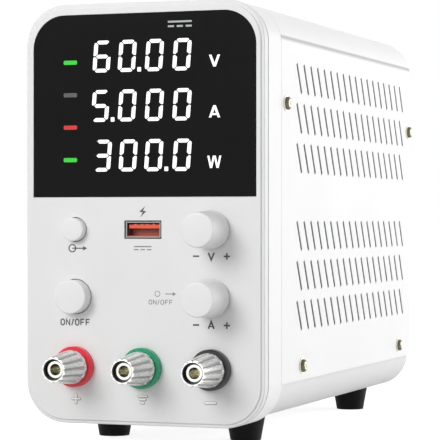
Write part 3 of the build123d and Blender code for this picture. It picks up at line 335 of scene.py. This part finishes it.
glowing("lit_white", srgb(252, 252, 252), 0.96)
glowing("lit_green", srgb(30, 206, 40), 0.62)
glowing("lit_red", srgb(206, 8, 20), 0.66)
moulded("unlit_grey", srgb(78, 78, 80), 0.5, grain=3000, drift=0.05)
moulded("ink_light", srgb(178, 178, 180), 0.5, grain=3000, drift=0.05)
moulded("ink_dark", srgb(74, 76, 80), 0.55, grain=5200, drift=0.06)
moulded("ink_grey", srgb(128, 130, 134), 0.55, grain=5200, drift=0.06)
# The raised signs' painted shadow, in taupe, and their faces' painted highlight, in white
moulded("mark_shadow_taupe", srgb(164, 157, 154), 0.55, grain=5200, drift=0.05)
moulded("mark_highlight_white", srgb(246, 244, 242), 0.45, grain=5200, drift=0.02)
moulded("usb_contact", srgb(244, 186, 170), 0.4, grain=2600, drift=0.05)
brown = moulded("usb_brown", srgb(150, 84, 70), 0.42, grain=2600, drift=0.1)
# Painted shade under the tongue, and painted light towards the insert's floor
_, _, z = brown.xyz()
shade_under_tongue = brown.spread(z, 0, 1, above(69.1), above(69.6))
brown.paint(shade_under_tongue, srgb(84, 30, 30))
lit_insert_floor = brown.spread(z, 1, 0, above(67.4), above(68.4))
brown.paint(lit_insert_floor, srgb(196, 84, 64))

slot_of = {row["node"]: row["material_slot"] for row in frame["record"]["subparts"]}
for node, thing in nodes.items():
    thing.data.materials.clear()
    thing.data.materials.append(looks[slot_of[node]].material)


# Mesh helpers


def finished(name, mesh_or_bmesh, look, body, smooth=None):
    """Makes the object, shades it, and lets it ride on its body."""
    mesh = mesh_or_bmesh
    if isinstance(mesh, bmesh.types.BMesh):
        mesh = bpy.data.meshes.new(name)
        bmesh.ops.recalc_face_normals(mesh_or_bmesh, faces=mesh_or_bmesh.faces)
        mesh_or_bmesh.to_mesh(mesh)
        mesh_or_bmesh.free()
    if smooth is not None:
        mesh.shade_smooth()
        mesh.set_sharp_from_angle(angle=math.radians(smooth))
    piece = bpy.data.objects.new(name, mesh)
    bpy.context.scene.collection.objects.link(piece)
    mesh.materials.append(looks[look].material)
    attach(piece, body)
    return piece


def print_shape(bm, outline, front=INK_DEPTH, back=0.02):
    """Adds a thin plate with this outline, in x and height, standing just proud of a front-facing surface."""
    rings = [[bm.verts.new(at(x, depth, height)) for x, height in outline] for depth in (front, back)]
    bm.faces.new(rings[0])
    bm.faces.new(list(reversed(rings[1])))
    count = len(outline)
    for i in range(count):
        j = (i + 1) % count
        bm.faces.new((rings[0][i], rings[1][i], rings[1][j], rings[0][j]))


def bar(x0, x1, h0, h1, cut=0.0):
    """Outline of a bar, its corners cut off."""
    if not cut:
        return [(x0, h0), (x1, h0), (x1, h1), (x0, h1)]
    return [
        (x0 + cut, h0), (x1 - cut, h0), (x1, h0 + cut), (x1, h1 - cut),
        (x1 - cut, h1), (x0 + cut, h1), (x0, h1 - cut), (x0, h0 + cut),
    ]


def band(points, width, closed=False):
    """Outline of one mitred band along the points."""
    count = len(points)
    left, right = [], []
    for i, (x, y) in enumerate(points):
        before = points[i - 1] if i or closed else None
        after = points[(i + 1) % count] if i < count - 1 or closed else None
        directions = []
        for a, b in ((before, (x, y)), ((x, y), after)):
            if a is not None and b is not None:
                length = math.hypot(b[0] - a[0], b[1] - a[1])
                directions.append(((b[0] - a[0]) / length, (b[1] - a[1]) / length))
        dx = sum(d[0] for d in directions)
        dy = sum(d[1] for d in directions)
        length = math.hypot(dx, dy)
        dx, dy = dx / length, dy / length
        stretch = 1 / max(0.35, abs(dx * directions[0][0] + dy * directions[0][1]))
        left.append((x - dy * width / 2 * stretch, y + dx * width / 2 * stretch))
        right.append((x + dy * width / 2 * stretch, y - dx * width / 2 * stretch))
    return left, right


def print_band(bm, points, width, closed=False, front=INK_DEPTH, back=0.02):
    """A mitred band, one quad for each run, so that bends and closed rings stay clean."""
    left, right = band(points, width, closed)
    count = len(points)
    runs = count if closed else count - 1
    cols = []
    for depth in (front, back):
        cols.append([[bm.verts.new(at(x, depth, h)) for x, h in side] for side in (left, right)])
    for i in range(runs):
        j = (i + 1) % count
        (lf, rf), (lb, rb) = cols
        bm.faces.new((lf[i], rf[i], rf[j], lf[j]))
        bm.faces.new((lb[i], lb[j], rb[j], rb[i]))
        bm.faces.new((lf[i], lf[j], lb[j], lb[i]))
        bm.faces.new((rf[i], rb[i], rb[j], rf[j]))
    if not closed:
        (lf, rf), (lb, rb) = cols
        bm.faces.new((lf[0], lb[0], rb[0], rf[0]))
        bm.faces.new((lf[-1], rf[-1], rb[-1], lb[-1]))


def arc(x, y, radius, start, end, steps=24):
    return [
        (
            x + radius * math.cos(math.radians(start + (end - start) * i / steps)),
            y + radius * math.sin(math.radians(start + (end - start) * i / steps)),
        )
        for i in range(steps + 1)
    ]


# Readout: lit digits, unit letters and status bars on the window

DIGIT_WIDTH, DIGIT_HEIGHT, DIGIT_BAR, DIGIT_POST, DIGIT_GAP = 6.6, 11.33, 1.34, 1.48, 0.22
DIGIT_PITCH, DIGIT_LEFT = 10.107, -19.23
DIGIT_LEAN = math.tan(math.radians(4.4))
SEGMENTS = {"0": "abcdef", "3": "abcdg", "5": "acdfg", "6": "acdefg"}
WINDOW_FACE = 0.1
LIT_FRONT, LIT_BACK = 0.06, WINDOW_FACE


def segment(name):
    """Outline of one segment of a digit that stands on 0, 0."""
    w, h, t, v, g = DIGIT_WIDTH, DIGIT_HEIGHT, DIGIT_BAR, DIGIT_POST, DIGIT_GAP
    middle = h / 2
    if name in "ad":
        shape = [
            (v * 0.5 + g, t * 0.4), (v * 0.78 + g, 0.08), (v + g + 0.1, 0), (w - v - g - 0.1, 0),
            (w - v * 0.78 - g, 0.08), (w - v * 0.5 - g, t * 0.4), (w - v - g, t - 0.1),
            (w - v - g - 0.2, t), (v + g + 0.2, t), (v + g, t - 0.1),
        ]
        return shape if name == "d" else [(x, h - y) for x, y in reversed(shape)]
    if name == "g":
        return [
            (v * 0.5 + g, middle), (v + g, middle - t / 2), (w - v - g, middle - t / 2),
            (w - v * 0.5 - g, middle), (w - v - g, middle + t / 2), (v + g, middle + t / 2),
        ]
    low = name in "ec"
    left = name in "fe"
    shape = [
        (v * 0.5, t * 0.4 + g), (v - 0.08, t), (v, t + 0.12), (v, middle - t / 2 - g), (v * 0.5, middle - g),
        (v * 0.2, middle - g), (0, middle - g - 0.15), (0, t + 0.25), (v * 0.12, t * 0.72),
    ]
    if not low:
        shape = [(x, h - y) for x, y in shape]
    if not left:
        shape = [(w - x, y) for x, y in shape]
    return shape if low == left else shape[::-1]


def add_reading(bm, text, bottom, shifts, point):
    """Four digits, each nudged across a little, and the decimal point."""
    for column, (mark, shift) in enumerate(zip(text, shifts)):
        left = DIGIT_LEFT + DIGIT_PITCH * column + shift
        for name in SEGMENTS[mark]:
            outline = [(left + x + y * DIGIT_LEAN, bottom + y) for x, y in segment(name)]
            print_shape(bm, outline, LIT_FRONT, LIT_BACK)
    print_shape(bm, bar(point, point + 1.42, bottom, bottom + 1.55, 0.16), LIT_FRONT, LIT_BACK)


for name, text, bottom, shifts, point in (
    ("voltage_reading", "6000", 125.38, (-0.19, -0.6, -0.33, 0), -2.1),
    ("current_reading", "5000", 107.8, (-0.8, -0.6, -0.33, 0), -12.3),
    ("power_reading", "3000", 90.05, (0, -0.22, -0.56, 0), 8.2),
):
    digits = bmesh.new()
    add_reading(digits, text, bottom, shifts, point)
    finished(name, digits, "lit_white", "base")

units = bmesh.new()


def vee(x, low, high, reach, foot, leg, flip=False):
    """A bold V between two heights, or the same turned over."""
    shape = [(-reach, 1), (leg - reach, 1), (0, 0.3), (reach - leg, 1), (reach, 1), (foot, 0), (-foot, 0)]
    if flip:
        shape = [(px, 1 - py) for px, py in reversed(shape)]
    return [(x + px, low + (high - low) * py) for px, py in shape]


for outline in (
    vee(27.0, 126.45, 130.6, 2.05, 0.48, 0.9),
    vee(27.0, 108.65, 112.9, 2.1, 0.48, 0.9, True),
    bar(25.9, 28.1, 109.5, 110.15),
    vee(25.72, 91.0, 95.3, 1.4, 0.4, 0.74),
    vee(28.12, 91.0, 95.3, 1.4, 0.4, 0.74),
):
    print_shape(units, outline, LIT_FRONT, LIT_BACK)
finished("unit_letters", units, "lit_white", "base")

for name, look, bottom in (
    ("status_bar_1", "lit_green", 128.4),
    ("status_bar_2", "unlit_grey", 116.75),
    ("status_bar_3", "lit_red", 105.15),
    ("status_bar_4", "lit_green", 93.5),
):
    light = bmesh.new()
    print_shape(light, bar(-30.6, -25.4, bottom, bottom + 1.5, 0.3), LIT_FRONT, LIT_BACK)
    finished(name, light, look, "base")

direct = bmesh.new()
print_shape(direct, bar(9.5, 18.5, 142.3, 142.95), LIT_FRONT, LIT_BACK)
for i in range(3):
    print_shape(direct, bar(9.5 + 3.35 * i, 11.8 + 3.35 * i, 140.7, 141.35), LIT_FRONT, LIT_BACK)
finished("direct_current_mark", direct, "ink_light", "base")

# Marks printed on the panel, all generic signs


def signs(name, look, shapes=(), bands=()):
    bm = bmesh.new()
    for outline in shapes:
        print_shape(bm, outline)
    for points, width, closed in bands:
        print_band(bm, points, width, closed)
    return finished(name, bm, look, "base")


def plus(x, h, size, width):
    a, b = size / 2, width / 2
    return [bar(x - a, x + a, h - b, h + b), bar(x - b, x + b, h + b, h + a), bar(x - b, x + b, h - a, h - b)]


for name, row, letter in (
    ("voltage_marks", 60.1, [(24.75, 61.35), (25.8, 58.85), (26.85, 61.35)]),
    ("current_marks", 36.0, [(24.75, 34.75), (25.8, 37.25), (26.85, 34.75)]),
):
    shapes = plus(31.6, row, 2.3, 0.6) + [bar(19.0, 21.3, row - 0.3, row + 0.3)]
    if name == "current_marks":
        shapes.append(bar(25.15, 26.45, row - 0.65, row - 0.25))
    signs(name, "ink_dark", shapes, [(letter, 0.62, False)])

signs(
    "output_marks",
    "ink_dark",
    [[(-23.0, 63.5), (-21.4, 62.7), (-23.0, 61.9)]],
    [(arc(-27.2, 62.7, 1.3, 0, 345), 0.42, True), ([(-27.2, 62.7), (-22.9, 62.7)], 0.42, False)],
)

signs(
    "charging_marks",
    "ink_dark",
    [[(0.9, 77.7), (-1.35, 75.7), (-0.05, 75.55), (-0.9, 73.75), (1.35, 75.95), (0.05, 76.05)]],
)
signs(
    "outlet_marks",
    "ink_grey",
    [bar(-3.3, 3.3, 63.2, 63.6)] + [bar(-3.3 + 2.45 * i, -1.6 + 2.45 * i, 62.1, 62.5) for i in range(3)],
)


def letters(text, left, bottom, height, width, space, line):
    """Plain capitals O, N, F and a slash, as bands."""
    bands, shapes, x = [], [], left
    for mark in text:
        w, h = width, height
        if mark == "O":
            c = 0.32 * w
            ring = [
                (x + c, bottom), (x + w - c, bottom), (x + w, bottom + c), (x + w, bottom + h - c),
                (x + w - c, bottom + h), (x + c, bottom + h), (x, bottom + h - c), (x, bottom + c),
            ]
            bands.append((ring, line, True))
        elif mark == "N":
            zigzag = [(x, bottom), (x, bottom + h), (x + w, bottom), (x + w, bottom + h)]
            bands.append((zigzag, line, False))
        elif mark == "F":
            bands.append(([(x + w, bottom + h), (x, bottom + h), (x, bottom)], line, False))
            middle = bottom + h / 2
            shapes.append(bar(x + line / 2, x + w * 0.85, middle - line / 2, middle + line / 2))
        elif mark == "/":
            bands.append(([(x, bottom - 0.1), (x + w * 0.55, bottom + h + 0.1)], line, False))
            x -= w * 0.45
        x += width + space
    return shapes, bands


shapes, bands = letters("ON/OFF", -31.6, 35.2, 2.05, 1.3, 0.78, 0.44)
signs("power_marks", "ink_dark", shapes, bands)
shapes, bands = letters("ON/OFF", 2.4, 43.05, 1.5, 1.05, 0.6, 0.25)
shapes += [[(8.6, 46.6), (8.6, 46.9), (11.4, 46.9), (11.4, 47.5), (12.6, 46.75), (11.4, 46.0), (11.4, 46.6)]]
bands.append((arc(5.6, 46.75, 0.95, 0, 345), 0.22, True))
signs("hold_marks", "ink_grey", shapes, bands)


def raised(name, shapes):
    """Signs that stand proud of the panel, each a face in painted highlight on a wider edge of painted shadow,
    set off to the right and down.
    """
    for part, look, grow, move, front in (
        ("edge", "mark_shadow_taupe", 0.24, 0.1, INK_DEPTH),
        ("face", "mark_highlight_white", 0.0, 0.0, -0.07),
    ):
        bm = bmesh.new()
        for x0, x1, h0, h1 in shapes:
            x0, x1, h0, h1 = x0 - grow + move, x1 + grow + move, h0 - grow - move, h1 + grow - move
            print_shape(bm, bar(x0, x1, h0, h1, min(h1 - h0, x1 - x0) * 0.3), front)
        finished(f"{name}_{part}", bm, look, "base")


raised("positive_marks", [(-27.45, -24.05, 8.6, 9.2), (-26.05, -25.45, 9.2, 10.6), (-26.05, -25.45, 7.2, 8.6)])
raised("negative_marks", [(23.3, 27.6, 8.45, 9.2)])
raised("ground_marks", [(-1.95, 1.75, 10.2, 10.75), (-1.35, 1.15, 9.0, 9.55), (-0.8, 0.55, 7.8, 8.35)])

# Binding post caps: soft flutes, a bevelled scalloped nose and an open well


def flute(angle):
    """How deep the flute is at this angle, 0 on a rib and 1 at the bottom of a flute."""
    phase = max(0.0, (math.cos(FLUTES * angle) + 0.2) / 1.2)
    return phase * phase * (3 - 2 * phase)


def cap_mesh(x):
    """The cap as rings of vertices from the bore's rear, round the outside, to the well's floor."""
    start, stop = SKIRT_FRONT - 0.3, CAP_FRONT_DEPTH + 0.75
    wide, narrow = CAP_REAR_RADIUS - 0.05, CAP_FRONT_RADIUS + 0.06
    stations = [
        (CAP_REAR_DEPTH, CAP_BORE, 0), (CAP_REAR_DEPTH, CAP_REAR_RADIUS - 0.25, 0),
        (CAP_REAR_DEPTH - 0.2, CAP_REAR_RADIUS, 0), (SKIRT_FRONT + 0.8, CAP_REAR_RADIUS, 0),
        (SKIRT_FRONT + 0.3, CAP_REAR_RADIUS - 0.02, 0.5), (start, wide, 1.0),
    ]
    run = 8
    for i in range(1, run + 1):
        share = i / run
        stations.append((start + (stop - start) * share, wide + (narrow - wide) * share, 1.0))
    stations += [
        (CAP_FRONT_DEPTH + 0.3, CAP_FRONT_RADIUS - 0.04, 0.8),
        (CAP_FRONT_DEPTH + 0.05, CAP_FRONT_RADIUS - 0.2, 0.6),
        (CAP_FRONT_DEPTH, CAP_FRONT_RADIUS - 0.35, 0.4), (CAP_FRONT_DEPTH, CAP_WELL + 0.12, 0),
        (CAP_FRONT_DEPTH + 0.12, CAP_WELL, 0), (CAP_FRONT_DEPTH + CAP_WELL_DEPTH, CAP_WELL, 0),
        (CAP_FRONT_DEPTH + CAP_WELL_DEPTH, CAP_BORE, 0),
    ]
    bm = bmesh.new()
    rings = []
    for depth, radius, share in stations:
        ring = []
        for i in range(AROUND):
            angle = 2 * math.pi * i / AROUND
            r = radius - FLUTE_DEPTH * share * flute(angle)
            ring.append(bm.verts.new(at(x + r * math.sin(angle), depth, POST_ROW + r * math.cos(angle))))
        rings.append(ring)
    for a, b in zip(rings, rings[1:] + rings[:1]):
        for i in range(AROUND):
            j = (i + 1) % AROUND
            bm.faces.new((a[i], a[j], b[j], b[i]))
    return bm


for name, x in (("positive", -COLUMN_X), ("ground", 0.0), ("negative", COLUMN_X)):
    cap = finished(f"{name}_cap_fluted", cap_mesh(x), "cap_nickel", f"{name}_nut", 38)
    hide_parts(f"{name}_cap")

# Screws: pan heads with a cross recess. Head radius and height, shank radius and length
CASING_SCREW = (2.9, 1.7, 1.45, 6.0)
FAN_SCREW = (3.3, 1.8, 2.0, 9.0)
SPIN_STEP = 37


def revolved(profile, steps):
    """Closed mesh from a radius and height profile that starts and ends on the axis."""
    bm = bmesh.new()
    first = bm.verts.new((0, 0, profile[0][1]))
    last = bm.verts.new((0, 0, profile[-1][1]))
    rings = [
        [
            bm.verts.new((r * math.cos(2 * math.pi * i / steps), r * math.sin(2 * math.pi * i / steps), z))
            for i in range(steps)
        ]
        for r, z in profile[1:-1]
    ]
    for i in range(steps):
        j = (i + 1) % steps
        bm.faces.new((first, rings[0][j], rings[0][i]))
        bm.faces.new((last, rings[-1][i], rings[-1][j]))
        for a, b in zip(rings, rings[1:]):
            bm.faces.new((a[i], a[j], b[j], b[i]))
    bmesh.ops.recalc_face_normals(bm, faces=bm.faces)
    return bm


def cross_cutter(reach, width, bottom, top):
    """A tapered cross for the driver recess."""
    bm = bmesh.new()
    rings = []
    for z, a, b in ((bottom, reach * 0.35, width * 0.45), (top, reach, width * 0.6)):
        outline = [
            (a, -b), (a, b), (b, b), (b, a), (-b, a), (-b, b),
            (-a, b), (-a, -b), (-b, -b), (-b, -a), (b, -a), (b, -b),
        ]
        rings.append([bm.verts.new((px, py, z)) for px, py in outline])
    bm.faces.new(list(reversed(rings[0])))
    bm.faces.new(rings[1])
    count = len(rings[0])
    for i in range(count):
        j = (i + 1) % count
        bm.faces.new((rings[0][i], rings[0][j], rings[1][j], rings[1][i]))
    bmesh.ops.recalc_face_normals(bm, faces=bm.faces)
    return bm


def carved(body_bm, cutter_bm):
    """The first mesh with the second cut out of it."""
    made = []
    for bm in (body_bm, cutter_bm):
        mesh = bpy.data.meshes.new("carving")
        bm.to_mesh(mesh)
        bm.free()
        thing = bpy.data.objects.new("carving", mesh)
        bpy.context.scene.collection.objects.link(thing)
        made.append(thing)
    cut = made[0].modifiers.new("cut", "BOOLEAN")
    cut.object = made[1]
    cut.operation = "DIFFERENCE"
    cut.solver = "EXACT"
    bpy.context.view_layer.update()
    result = bpy.data.meshes.new_from_object(made[0].evaluated_get(bpy.context.evaluated_depsgraph_get()))
    for thing in made:
        mesh = thing.data
        bpy.data.objects.remove(thing)
        bpy.data.meshes.remove(mesh)
    return result


def screw_mesh(head_radius, head_height, shank_radius, shank_length):
    """A washer head above zero and its shank below, the flange and the top in the second slot for the painted
    highlight, the rest in the first slot's painted shade.
    """
    dome, top = head_radius * 0.82, head_radius * 0.5
    profile = [
        (0, -shank_length), (shank_radius, -shank_length), (shank_radius, 0), (head_radius * 0.98, 0),
        (head_radius, head_height * 0.06), (head_radius, head_height * 0.18),
        (head_radius * 0.97, head_height * 0.24), (dome, head_height * 0.26), (dome, head_height * 0.5),
        (dome * 0.94, head_height * 0.74),
        (dome * 0.82, head_height * 0.92), (top, head_height), (0, head_height),
    ]
    cutter = cross_cutter(head_radius * 0.44, head_radius * 0.26, head_height * 0.12, head_height * 1.1)
    mesh = carved(revolved(profile, 32), cutter)
    for face in mesh.polygons:
        x, y, z = face.center
        reach = math.hypot(x, y)
        if reach < top or 0 < z < head_height * 0.255:
            face.material_index = 1
    return mesh


def placed(name, mesh, places, look, body, smooth=35):
    """One piece from copies of the mesh, each at an origin in metres, with a direction and a spin."""
    bm = bmesh.new()
    for origin, direction, spin in places:
        before = len(bm.verts)
        bm.from_mesh(mesh)
        bm.verts.ensure_lookup_table()
        turn = Vector(direction).to_track_quat("Z", "Y").to_matrix().to_4x4()
        spun = Matrix.Rotation(math.radians(spin), 4, "Z")
        matrix = Matrix.Translation(origin) @ turn @ spun @ Matrix.Scale(MM, 4)
        bmesh.ops.transform(bm, matrix=matrix, verts=bm.verts[before:])
    return finished(name, bm, look, body, smooth)


def screws(name, size, places, node):
    """Screws in place of the node's plain ones, with crowns and flanges in painted highlight over the painted
    shade of the domed sides.
    """
    made = placed(name, screw_mesh(*size), places, "screw_nickel", "base")
    made.data.materials.append(looks["screw_highlight"].material)
    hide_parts(node)


# Depth and height of the side screws; depths of the tray's and the main board's; the fan's centre and pitch
SIDE_SCREWS = ((24.2, 114.5), (42.5, 19.6), (177.0, 19.6), (193.0, 110.7))
HALF_WIDTH = 45.4
TRAY_SCREW_X, TRAY_SCREW_HEIGHT, TRAY_SCREW_DEPTHS = 17.0, 1.3, (24.1, 192.0)
BOARD_SCREW_X, BOARD_SCREW_HEIGHT, BOARD_SCREW_DEPTHS = 27.0, 10.4, (44.0, 160.0)
FAN_REACH, FAN_HEIGHT, FAN_SCREW_DEPTH = 25.0, 104.0, 197.9

places, spin = [], 20
for depth, height in SIDE_SCREWS:
    for side in (-1, 1):
        places.append((at(side * HALF_WIDTH, depth, height), (side, 0, 0), spin))
        spin += SPIN_STEP
for side in (-1, 1):
    for depth in TRAY_SCREW_DEPTHS:
        places.append((at(side * TRAY_SCREW_X, depth, TRAY_SCREW_HEIGHT), (0, 0, -1), spin))
        spin += SPIN_STEP
    for depth in BOARD_SCREW_DEPTHS:
        places.append((at(side * BOARD_SCREW_X, depth, BOARD_SCREW_HEIGHT), (0, 0, 1), spin))
        spin += SPIN_STEP
screws("casing_pan_screws", CASING_SCREW, places, "casing_screws")

places = []
for side in (-1, 1):
    for end in (-1, 1):
        height = FAN_HEIGHT + end * FAN_REACH
        places.append((at(side * FAN_REACH, FAN_SCREW_DEPTH, height), (0, 1, 0), spin))
        spin += SPIN_STEP
screws("fan_pan_screws", FAN_SCREW, places, "fan_screws")

# Knobs and buttons with softly rounded front edges


def rounded_end(radius, height, soft, steps=6):
    """Profile points round a front edge, from the face to the side."""
    return [
        (
            radius - soft + soft * math.sin(math.pi / 2 * i / steps),
            height - soft + soft * math.cos(math.pi / 2 * i / steps),
        )
        for i in range(steps + 1)
    ]


def turned(name, profile, x, row, body, node):
    """A control turned from its profile, in place of the node's plain one."""
    mesh = bpy.data.meshes.new("turned")
    shape = revolved(profile, 96)
    shape.to_mesh(mesh)
    shape.free()
    control = placed(name, mesh, [(at(x, 0, row), (0, -1, 0), 0)], "knob_grey", body)
    bpy.data.meshes.remove(mesh)
    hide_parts(node)


KNOB_BASE, KNOB_TIP, KNOB_FRONT, KNOB_REAR, KNOB_SKIRT = 6.8, 6.1, 15.0, 0.8, 1.2
SHAFT, SHAFT_END = 2.95, 10.8
for name, row in (("voltage", UPPER_ROW), ("current", LOWER_ROW)):
    inner, step = KNOB_BASE - KNOB_SKIRT, KNOB_REAR + KNOB_SKIRT
    profile = [(0, KNOB_FRONT), *rounded_end(KNOB_TIP + 0.03, KNOB_FRONT, 0.65)]
    profile += [
        (KNOB_BASE - 0.02, KNOB_REAR + 0.25), (KNOB_BASE - 0.2, KNOB_REAR), (inner, KNOB_REAR),
        (inner, step), (SHAFT + KNOB_SKIRT, step), (SHAFT + KNOB_SKIRT, KNOB_REAR),
        (SHAFT, KNOB_REAR), (SHAFT, SHAFT_END), (0, SHAFT_END),
    ]
    turned(f"{name}_knob_soft", profile, COLUMN_X, row, f"{name}_dial", f"{name}_knob")

LIP_FRONT, LIP_REAR, LIP_REACH = -2.8, -3.8, 1.2
for name, body, row, radius, front, stem, stem_end in (
    ("output_button", "output_key", UPPER_ROW, 4.15, 2.9, 1.7, 8.3),
    ("power_button", "power_key", LOWER_ROW, 6.05, 5.1, 0, 3.8),
):
    profile = [(0, front), *rounded_end(radius, front, 0.6)]
    profile += [(radius, LIP_FRONT), (radius + LIP_REACH, LIP_FRONT), (radius + LIP_REACH, LIP_REAR)]
    profile += [(stem, LIP_REAR), (stem, -stem_end)] if stem else []
    profile += [(0, -stem_end)]
    turned(f"{name}_soft", profile, -COLUMN_X, row, body, name)

# Charging outlet: the brown insert behind the orange tongue, and its contacts

INSERT_REACH, INSERT_FRONT, INSERT_FACE, INSERT_REAR = 6.15, 1.4, 5.2, 9.8
insert = bmesh.new()
print_shape(insert, bar(-INSERT_REACH, INSERT_REACH, 67.0, 69.8), INSERT_FACE, INSERT_REAR)
print_shape(insert, bar(-INSERT_REACH, INSERT_REACH, 66.97, 67.25), INSERT_FRONT, INSERT_FACE)
finished("outlet_insert", insert, "usb_brown", "base")

TONGUE_REACH, TONGUE_BOTTOM, TONGUE_TOP = 5.95, 69.84, 71.2
tongue = bmesh.new()
print_shape(tongue, bar(-TONGUE_REACH, TONGUE_REACH, TONGUE_BOTTOM, TONGUE_TOP, 0.15), 1.6, 10.6)
tongue = finished("outlet_tongue", tongue, "usb_orange", "base")
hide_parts("usb_tongue")
contacts = bmesh.new()
for x in (-3.5, -1.0, 1.0, 3.5):
    print_shape(contacts, bar(x - 0.5, x + 0.5, TONGUE_TOP - 0.1, TONGUE_TOP + 0.22, 0.12), 1.65, 8.0)
finished("outlet_contacts", contacts, "usb_contact", "base")

# Floor, light and camera


def stage_plane(name, size, location, rotation=(0, 0, 0)):
    mesh = bpy.data.meshes.new(name)
    h = size / 2
    mesh.from_pydata([(-h, -h, 0), (h, -h, 0), (h, h, 0), (-h, h, 0)], [], [(0, 1, 2, 3)])
    thing = bpy.data.objects.new(name, mesh)
    thing.location = location
    thing.rotation_euler = rotation
    bpy.context.scene.collection.objects.link(thing)
    return thing


def seen_rays(tree):
    """1 for rays from the camera and for those that mirrors and glass send on."""
    path = tree.nodes.new("ShaderNodeLightPath")
    first = tree.nodes.new("ShaderNodeMath")
    first.operation = "MAXIMUM"
    second = tree.nodes.new("ShaderNodeMath")
    second.operation = "MAXIMUM"
    tree.links.new(path.outputs["Is Camera Ray"], first.inputs[0])
    tree.links.new(path.outputs["Is Glossy Ray"], first.inputs[1])
    tree.links.new(first.outputs[0], second.inputs[0])
    tree.links.new(path.outputs["Is Transmission Ray"], second.inputs[1])
    return second.outputs[0]


floor = stage_plane("floor", 60.0, (0, 0, 0))
paper = bpy.data.materials.new("floor_paper")
paper.use_nodes = True
tree = paper.node_tree
base = tree.nodes["Principled BSDF"]
base.inputs["Base Color"].default_value = (0.58, 0.58, 0.58, 1)
base.inputs["Roughness"].default_value = 0.9
base.inputs["Specular IOR Level"].default_value = 0.0
lift = tree.nodes.new("ShaderNodeEmission")
lift.inputs["Color"].default_value = (1, 1, 1, 1)
scaled = tree.nodes.new("ShaderNodeMath")
scaled.operation = "MULTIPLY"
scaled.inputs[1].default_value = 0.86
tree.links.new(seen_rays(tree), scaled.inputs[0])
tree.links.new(scaled.outputs[0], lift.inputs["Strength"])
both = tree.nodes.new("ShaderNodeAddShader")
tree.links.new(base.outputs[0], both.inputs[0])
tree.links.new(lift.outputs[0], both.inputs[1])
tree.links.new(both.outputs[0], tree.nodes["Material Output"].inputs["Surface"])
floor.data.materials.append(paper)

world = bpy.data.worlds.new("studio")
bpy.context.scene.world = world
world.use_nodes = True
tree = world.node_tree
back = tree.nodes["Background"]
back.inputs["Color"].default_value = (1, 1, 1, 1)
level = tree.nodes.new("ShaderNodeMapRange")
level.inputs["To Min"].default_value = 0.49
level.inputs["To Max"].default_value = 1.0
tree.links.new(seen_rays(tree), level.inputs["Value"])
tree.links.new(level.outputs["Result"], back.inputs["Strength"])


def softbox(name, size_x, size_y, power, location, target):
    lamp = bpy.data.lights.new(name, "AREA")
    lamp.shape = "RECTANGLE"
    lamp.size, lamp.size_y = size_x, size_y
    lamp.energy = power
    thing = bpy.data.objects.new(name, lamp)
    bpy.context.scene.collection.objects.link(thing)
    thing.location = location
    thing.rotation_euler = (Vector(target) - Vector(location)).to_track_quat("-Z", "Y").to_euler()
    thing.visible_camera = False
    return thing


softbox("key", 0.8, 0.8, 15.4, (-0.5, -1.45, 0.85), (0, 0, 0.08))
softbox("side", 1.2, 0.9, 24.0, (1.35, 1.1, 0.25), (0, 0, 0.08))
softbox("top", 1.0, 1.0, 0.3, (0.1, 0.1, 1.7), (0, 0, 0.08))

camera_data = bpy.data.cameras.new("camera")
camera_data.sensor_width = 36.0
camera_data.lens = 171.57
camera_data.clip_start = 0.05
camera_data.clip_end = 100.0
camera = bpy.data.objects.new("camera", camera_data)
camera.location = (0.2788, -0.7785, 0.0803)
camera.rotation_euler = (math.radians(90), 0, math.radians(19.95))
bpy.context.scene.collection.objects.link(camera)
bpy.context.scene.camera = camera

bpy.context.scene.view_settings.view_transform = "Standard"

bpy.context.view_layer.update()
